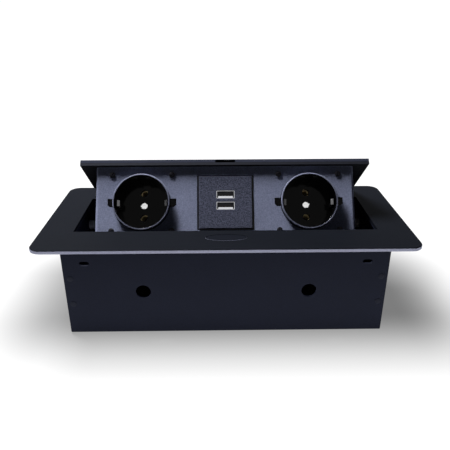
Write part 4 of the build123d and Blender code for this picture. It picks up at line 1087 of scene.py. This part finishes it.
@dataclass
class SocketPanel(SubAssembly):
    """The folded panel with its back cover, and the two earthed sockets in it."""

    body: Body = Body.CARRIAGE

    def build(self) -> None:
        """Build and dress the panel and its sockets."""
        self.finish_node("socket_panel", Finishes.PANEL, "grey_coat", edge=0.2)
        self.finish_node("back_cover", Finishes.PANEL, "grey_coat", edge=0.15)
        self.finish_node("pivot_clips", Finishes.SPRING, "bare_steel", edge=0.08)
        for side in SIDES:
            self.finish_node(f"socket_dish_{side}", Finishes.DISHES[side], "black_gloss", edge=0.3)
            self.finish_node(f"earth_clip_{side}", Finishes.CLIP_NICKEL, "nickel", edge=0.08)
            self.finish_node(f"contact_carrier_{side}", Finishes.MOULDED, "black_plastic", edge=0.2)
            self.finish_node(f"contact_sleeves_{side}", Finishes.BRASS_PAINTED_SHADE, "brass", edge=0.05)


@dataclass
class ChargingModule(SubAssembly):
    """The charging ports in their bezel and housing."""

    body: Body = Body.CARRIAGE
    port_drop: float = 25.6
    pitch: float = 8.4
    tongue_rise: float = 0.9
    tongue_thickness: float = 1.9
    tongue_front: float = -1.1
    strip_setback: float = 0.6
    strip_length: float = 7.5
    leaf_drop: float = 1.7
    leaf_depth: float = 1.0
    leaf_width: float = 10.8
    leaf_height: float = 1.5
    leaf_thickness: float = 0.2
    leaf_lean: Pair = (0.94, 0.34)

    def build(self) -> None:
        """Build and dress the module."""
        self.finish_node("usb_bezel", Finishes.BEZEL, "grey_plastic", edge=0.12)
        self.finish_node("usb_housing", Finishes.MOULDED, "black_plastic", edge=0.2)
        self.finish_node("usb_port_shells", Finishes.STEEL, "nickel", edge=0.06)
        self.finish_node("usb_contact_tongues", Finishes.TONGUE, "black_plastic", edge=0.1)
        self.finish_node("usb_board", Finishes.BOARD, "green_board", edge=0.1)
        self.contacts()
        self.leaves()

    def in_ports(self, rise: float, height: float, facing: Vector) -> list[Seat]:
        """Give one seat in each port.

        Args:
            rise: Millimetres above the port's middle.
            height: Millimetres out of the panel.
            facing: The way that the seat faces.

        Returns:
            The lower and the upper port's seat.
        """
        return [
            Seat(PANEL.at(0, -self.port_drop + end * self.pitch / 2 + rise, height), facing)
            for end in (-1, 1)
        ]

    def contacts(self) -> None:
        """Lay four contact strips under each tongue."""
        under = self.tongue_rise - self.tongue_thickness / 2
        depth = self.tongue_front - self.strip_setback - self.strip_length / 2
        seats = self.in_ports(under, depth, -PANEL.up)
        piece = StripForm().run(
            "usb_contact_strips", seats_mesh("contact_seats", seats), Finishes.GOLD,
            {"Strip Length": self.strip_length * MM},
        )
        self.place(piece, "brass", [])

    def leaves(self) -> None:
        """Turn up the spring leaf in the mouth of each port."""
        out, up = self.leaf_lean
        facing = (PANEL.out * out + PANEL.up * up).normalized()
        seats = self.in_ports(-self.leaf_drop, -self.leaf_depth, facing)
        piece = StripForm().run(
            "usb_port_leaves", seats_mesh("leaf_seats", seats), Finishes.STEEL,
            {
                "Count": 1, "Strip Width": self.leaf_width * MM,
                "Strip Length": self.leaf_height * MM, "Strip Height": self.leaf_thickness * MM,
            },
        )
        self.place(piece, "nickel", [])


@dataclass
class Latch(SubAssembly):
    """The push plate, the slide that it draws back, and their guide."""

    guide_front: float = -48.0
    spring_middle: float = 75.0
    coil_start: float = -47.85
    coil_length: float = 5.6
    coil_radius: float = 0.7
    turns: int = 6
    steps_a_turn: int = 24
    wire: float = 0.15
    travel: float = 1.6

    def build(self) -> None:
        """Build and dress the latch."""
        plate, slide = Body.PUSH_PLATE, Body.LATCH
        self.finish_node("push_plate", Finishes.BUTTON, "black_plastic", edge=0.0, body=plate)
        self.finish_node("latch_slide", Finishes.MOULDED, "black_plastic", edge=0.12, body=slide)
        self.finish_node("latch_guide", Finishes.ZINC, "bare_steel", edge=0.1)
        self.spring()

    def spring(self) -> None:
        """Wind the return spring, at one length: it doesn't shorten as the slide is drawn."""
        steps = self.turns * self.steps_a_turn
        points = []
        for step in range(steps + 1):
            angle = step / self.steps_a_turn * math.tau
            points.append(Vector((
                self.coil_radius * math.cos(angle),
                self.coil_start + self.coil_length * step / steps,
                self.spring_middle + self.coil_radius * math.sin(angle),
            )) * MM)
        piece = WireForm().run(
            "latch_spring_wound", path_mesh("latch_spring_path", points), Finishes.SPRING,
            {"Wire Radius": self.wire * MM, "Sides": 8},
        )
        self.place(piece, "bare_steel", ["latch_spring"])
        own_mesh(piece)


@dataclass
class TorsionSprings(SubAssembly):
    """The two springs round the pivot sleeves that lift the carriage."""

    start: float = 108.05
    pitch: float = 1.7
    turns: int = 5
    steps_a_turn: int = 32
    radius: float = 4.95
    leg: float = 12.0
    fixed_tip: float = 9.3
    moving_tip: float = 5.45
    wire: float = 0.65
    elbow: float = 1.2
    elbow_steps: int = 6

    def build(self) -> None:
        """Wind both springs."""
        for side, sign in SIDES.items():
            piece = WireForm().run(
                f"torsion_spring_{side}_wound", path_mesh(f"spring_path_{side}", self.path(sign)),
                Finishes.SPRING, {"Wire Radius": self.wire * MM, "Sides": 14},
            )
            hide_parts(f"torsion_spring_{side}")
            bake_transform(piece)
            faces = len(piece.data.polygons)
            log.info("%s: %d faces between housing and carriage", piece.name, faces)

    def path(self, sign: int) -> list[Vector]:
        """Give the wire's middle line.

        Args:
            sign: -1 for the left spring and 1 for the right.

        Returns:
            Points from the tip in the end plate to the tip in the cheek.
        """
        height = self.turns * self.pitch
        local = [
            (self.radius, -self.leg, -self.fixed_tip),
            *self.corner(-self.leg, 0.0, -1),
            (self.radius, -self.elbow, 0.0),
        ]
        for step in range(self.turns * self.steps_a_turn + 1):
            angle = step / self.steps_a_turn * math.tau
            local.append((
                self.radius * math.cos(angle),
                self.radius * math.sin(angle),
                self.pitch * step / self.steps_a_turn,
            ))
        local += [
            (self.radius, self.elbow, height),
            *self.corner(self.leg, height, 1),
            (self.radius, self.leg, height + self.moving_tip),
        ]
        return [
            Vector((sign * (self.start - z), SWING.pivot_y - x, SWING.pivot_z + y)) * MM
            for x, y, z in local
        ]

    def corner(self, y: float, z: float, way: int) -> list[Triple]:
        """Round the elbow between a leg and its tip.

        Args:
            y: Where the tip runs.
            z: The level of the leg.
            way: -1 where the tip comes first and 1 where the leg does.

        Returns:
            Points round the elbow, in the wire's order.
        """
        inner = y - math.copysign(self.elbow, y)
        arc = []
        for step in range(self.elbow_steps + 1):
            angle = step / self.elbow_steps * math.pi / 2
            arc.append((
                self.radius,
                inner + math.copysign(self.elbow * math.sin(angle), y),
                z + way * self.elbow * (1 - math.cos(angle)),
            ))
        return arc if way > 0 else arc[::-1]


@dataclass(frozen=True)
class ScrewGroup:
    """The screws of one solid: their seats, look and length."""

    node: str
    seats: list[Seat]
    finish: Finish
    slot: str
    length: float
    head: float = 2.1
    body: Body = Body.CARRIAGE


@dataclass
class Screws(SubAssembly):
    """Every slotted screw of the module."""

    panel_screw: Pair = (22.1, 21.0)
    panel_turns: tuple[float, ...] = (0.3, 1.1, 2.0, 0.7, 1.6, 0.1, 2.6, 1.3)
    dish_floor: float = -12.5
    dish_head: float = 2.6
    dish_slot: Pair = (0.97, 0.2)
    lid_screw_x: float = 88.1
    lid_screw_rows: Pair = (15.0, 26.0)
    tab_sheet: float = 2.0
    cheek_x: float = 96.1
    cheek_rows: Pair = (-41.58, -21.58)
    cheek_level: float = -33.2
    guide_screw: Triple = (20.4, -43.6, 77.7)
    terminals: tuple[float, ...] = (10, 20, 30)
    terminal_y: float = 37.5
    terminal_z: float = 16.5
    terminal_slot: Triple = (0.8, 0.6, 0)
    height: float = 1.3
    dome: float = 0.4
    shank: float = 1.2
    slot_depth: float = 0.9
    slot_width: float = 0.8

    def build(self) -> None:
        """Drive in every group of screws."""
        form = FastenerForm(slotted=True)
        dark, bright = (Finishes.DARK_SCREW, "black_steel"), (Finishes.NICKEL, "nickel")
        housing = Body.HOUSING
        for group in (
            ScrewGroup("panel_screws", self.on_panel(), *dark, length=5.0),
            ScrewGroup(
                "socket_centre_screws", self.in_dishes(), *bright, length=13.4,
                head=self.dish_head,
            ),
            ScrewGroup("lid_screws", self.under_lid(), *bright, length=4.0),
            ScrewGroup("cover_screws", self.on_cheeks(), *dark, length=4.4),
            ScrewGroup("guide_screws", self.under_guide(), *bright, length=2.6, body=housing),
            ScrewGroup("terminal_screws", self.in_terminals(), *bright, length=6.75, body=housing),
        ):
            self.drive(form, group)

    def drive(self, form: FastenerForm, group: ScrewGroup) -> None:
        """Make one group of screws and put it in place of its solids.

        Args:
            form: The screw tree.
            group: The screws.
        """
        piece = form.run(
            f"{group.node}_driven", seats_mesh(f"{group.node}_seats", group.seats), group.finish,
            {
                "Head Radius": group.head * MM, "Head Height": self.height * MM, "Dome": self.dome,
                "Shank Radius": self.shank * MM, "Shank Length": group.length * MM,
                "Slot Width": self.slot_width * MM, "Slot Depth": self.slot_depth * MM,
            },
        )
        self.place(piece, group.slot, [group.node], group.body)

    def on_panel(self) -> list[Seat]:
        """Give the small screws round both sockets, their slots turned at odds.

        Returns:
            Their seats.
        """
        across, along = self.panel_screw
        places = [
            PANEL.at(side * SOCKET_X + x, y - SOCKET_DROP)
            for side in (-1, 1) for x in (-across, across) for y in (-along, along)
        ]
        return [
            Seat(place, PANEL.out, Vector((math.cos(turn), 0, 0)) + PANEL.up * math.sin(turn))
            for place, turn in zip(places, self.panel_turns)
        ]

    def in_dishes(self) -> list[Seat]:
        """Give the screws in the middle of the sockets."""
        across, along = self.dish_slot
        slot_way = Vector((across, 0, 0)) + PANEL.up * along
        return [
            Seat(PANEL.at(side * SOCKET_X, -SOCKET_DROP, self.dish_floor), PANEL.out, slot_way)
            for side in (-1, 1)
        ]

    def under_lid(self) -> list[Seat]:
        """Give the screws through the panel's tabs into the lid."""
        return [
            Seat(LID.at(side * self.lid_screw_x, row, -self.tab_sheet), -LID.out, LID.up)
            for side in (-1, 1) for row in self.lid_screw_rows
        ]

    def on_cheeks(self) -> list[Seat]:
        """Give the screws through the cheeks into the back cover's tabs."""
        return [
            Seat(
                PANEL.at(side * self.cheek_x, row, self.cheek_level), Vector((side, 0, 0)),
                PANEL.up,
            )
            for side in (-1, 1) for row in self.cheek_rows
        ]

    def under_guide(self) -> list[Seat]:
        """Give the screws that hold the latch guide."""
        x, y, z = self.guide_screw
        return [Seat(Vector((side * x, y, z)) * MM, Vector((0, 0, -1))) for side in (-1, 1)]

    def in_terminals(self) -> list[Seat]:
        """Give the clamping screws of the terminal block."""
        up, slot_way = Vector((0, 0, 1)), Vector(self.terminal_slot)
        return [
            Seat(Vector((x, self.terminal_y, self.terminal_z)) * MM, up, slot_way)
            for x in self.terminals
        ]


@dataclass(frozen=True)
class SoftBox:
    """A rectangular lamp, placed in metres, with its power in watts."""

    name: str
    place: Triple
    aim: Triple
    size: Pair
    power: float

    def hang(self) -> None:
        """Hang the lamp."""
        data = bpy.data.lights.new(self.name, "AREA")
        data.shape = "RECTANGLE"
        data.size, data.size_y = self.size
        data.energy = self.power
        lamp = bpy.data.objects.new(self.name, data)
        lamp.location = self.place
        way = Vector(self.place) - Vector(self.aim)
        lamp.rotation_euler = way.to_track_quat("Z", "Y").to_euler()
        bpy.context.scene.collection.objects.link(lamp)


@dataclass(frozen=True)
class Studio:
    """The floor, the lights and the camera of the photograph.

    The camera's axes and its distance in pixels were fitted to the photograph. The floor dims
    towards the module as the photograph's soft shadow does: glow and bounce say from which
    distance to which, in metres, and from which strength to which. Glow is what is seen, and
    bounce is what lights the module's lower faces.
    """

    camera_place: Triple = (-5.96, -362.32, 236.77)
    right: Triple = (0.99986793, -0.01620373, -0.00124633)
    up: Triple = (0.00785744, 0.41486891, 0.90984727)
    back: Triple = (-0.01422586, -0.9097369, 0.41494144)
    focal_pixels: float = 514.53
    frame_pixels: float = 450.0
    sensor: float = 36.0
    floor_size: float = 40.0
    floor_color: Color = (0.07, 0.07, 0.071, 1)
    floor_roughness: float = 0.9
    floor_sheen: float = 0.1
    footprint: Triple = (130, 29, 0)
    shadow_middle: Triple = (8, 16, 0)
    # The glow's seen brightness stays low near the module: a painted shadow on the floor.
    glow: Span = (0.0, 0.09, 0.2, 1.0)
    bounce: Span = (0.08, 0.2, 2.8, 0.0)
    room: tuple[Color, float] = ((0.93, 0.95, 1.0, 1), 0.012)
    seen: tuple[Color, float] = ((1, 1, 1, 1), 1.0)
    lamps: tuple[SoftBox, ...] = (
        SoftBox("key", (-0.26, 0.24, 0.7), (0, 0, 0.08), (0.36, 0.12), 15.5),
        SoftBox("front", (-0.3, -1.25, 0.4), (0, 0, 0.05), (0.9, 0.9), 0.12),
    )

    def build(self) -> None:
        """Set the stage."""
        self.camera()
        self.floor()
        self.world()
        for lamp in self.lamps:
            lamp.hang()
        bpy.context.scene.view_settings.view_transform = "Standard"

    def camera(self) -> None:
        """Stand the camera where the photograph was taken from."""
        data = bpy.data.cameras.new("camera")
        data.sensor_width = self.sensor
        data.lens = self.focal_pixels * self.sensor / self.frame_pixels
        data.clip_start = 0.01
        camera = bpy.data.objects.new("camera", data)
        axes = Matrix((self.right, self.up, self.back)).transposed().to_4x4()
        axes.translation = Vector(self.camera_place) * MM
        camera.matrix_world = axes
        bpy.context.scene.collection.objects.link(camera)
        bpy.context.scene.camera = camera

    def floor(self) -> None:
        """Lay the pale floor."""
        half = self.floor_size / 2
        corners = [(-half, -half, 0), (half, -half, 0), (half, half, 0), (-half, half, 0)]
        mesh = bpy.data.meshes.new("floor")
        mesh.from_pydata(corners, [], [(0, 1, 2, 3)])
        mesh.materials.append(self.paper())
        piece = Workshop.stand("floor", mesh)

    def paper(self) -> bpy.types.Material:
        """Build the floor's material.

        Returns:
            The material.
        """
        sheet = NodeSheet("floor_paper")
        past = sheet.past_window(self.shadow_middle, self.footprint)
        away = sheet.measure("LENGTH", sheet.measure("MAXIMUM", past, (0, 0, 0)))
        shown = sheet.shown_rays()
        unseen = sheet.reckon("SUBTRACT", 1.0, shown)
        level = sheet.reckon("MULTIPLY_ADD", unseen, sheet.between(away, self.bounce), shown)
        # Painted shadow: the emission that the camera sees dims towards the module's footprint.
        sheet.give(sheet.shader, {
            "Base Color": self.floor_color, "Roughness": self.floor_roughness,
            "Specular IOR Level": self.floor_sheen, "Emission Color": (1, 1, 1, 1),
            "Emission Strength": sheet.reckon("MULTIPLY", level, sheet.between(away, self.glow)),
        })
        return sheet.material

    def world(self) -> None:
        """Fill the room with an even light, white where the camera or a gloss sees it."""
        world = bpy.data.worlds.new("studio")
        bpy.context.scene.world = world
        world.use_nodes = True
        nodes = NodeWork(world.node_tree)
        nodes.tree.nodes.clear()
        mix = nodes.add("ShaderNodeMixShader", {"Fac": nodes.shown_rays()})
        for index, (color, strength) in enumerate((self.room, self.seen), start=1):
            light = nodes.add("ShaderNodeBackground", {"Color": color, "Strength": strength})
            nodes.feed(light.outputs[0], mix.inputs[index])
        nodes.add("ShaderNodeOutputWorld", {"Surface": mix.outputs[0]})


def main() -> None:
    """Build every sub-assembly and the studio, in order."""
    logging.basicConfig(level=logging.INFO, format="%(name)s: %(message)s")
    Studio().build()
    parts = (
        Housing(), Lid(), SocketPanel(), ChargingModule(), Latch(), TorsionSprings(), Screws(),
    )
    for part in parts:
        log.info("building %s", type(part).__name__)
        part.build()


if __name__ == "__main__":
    main()
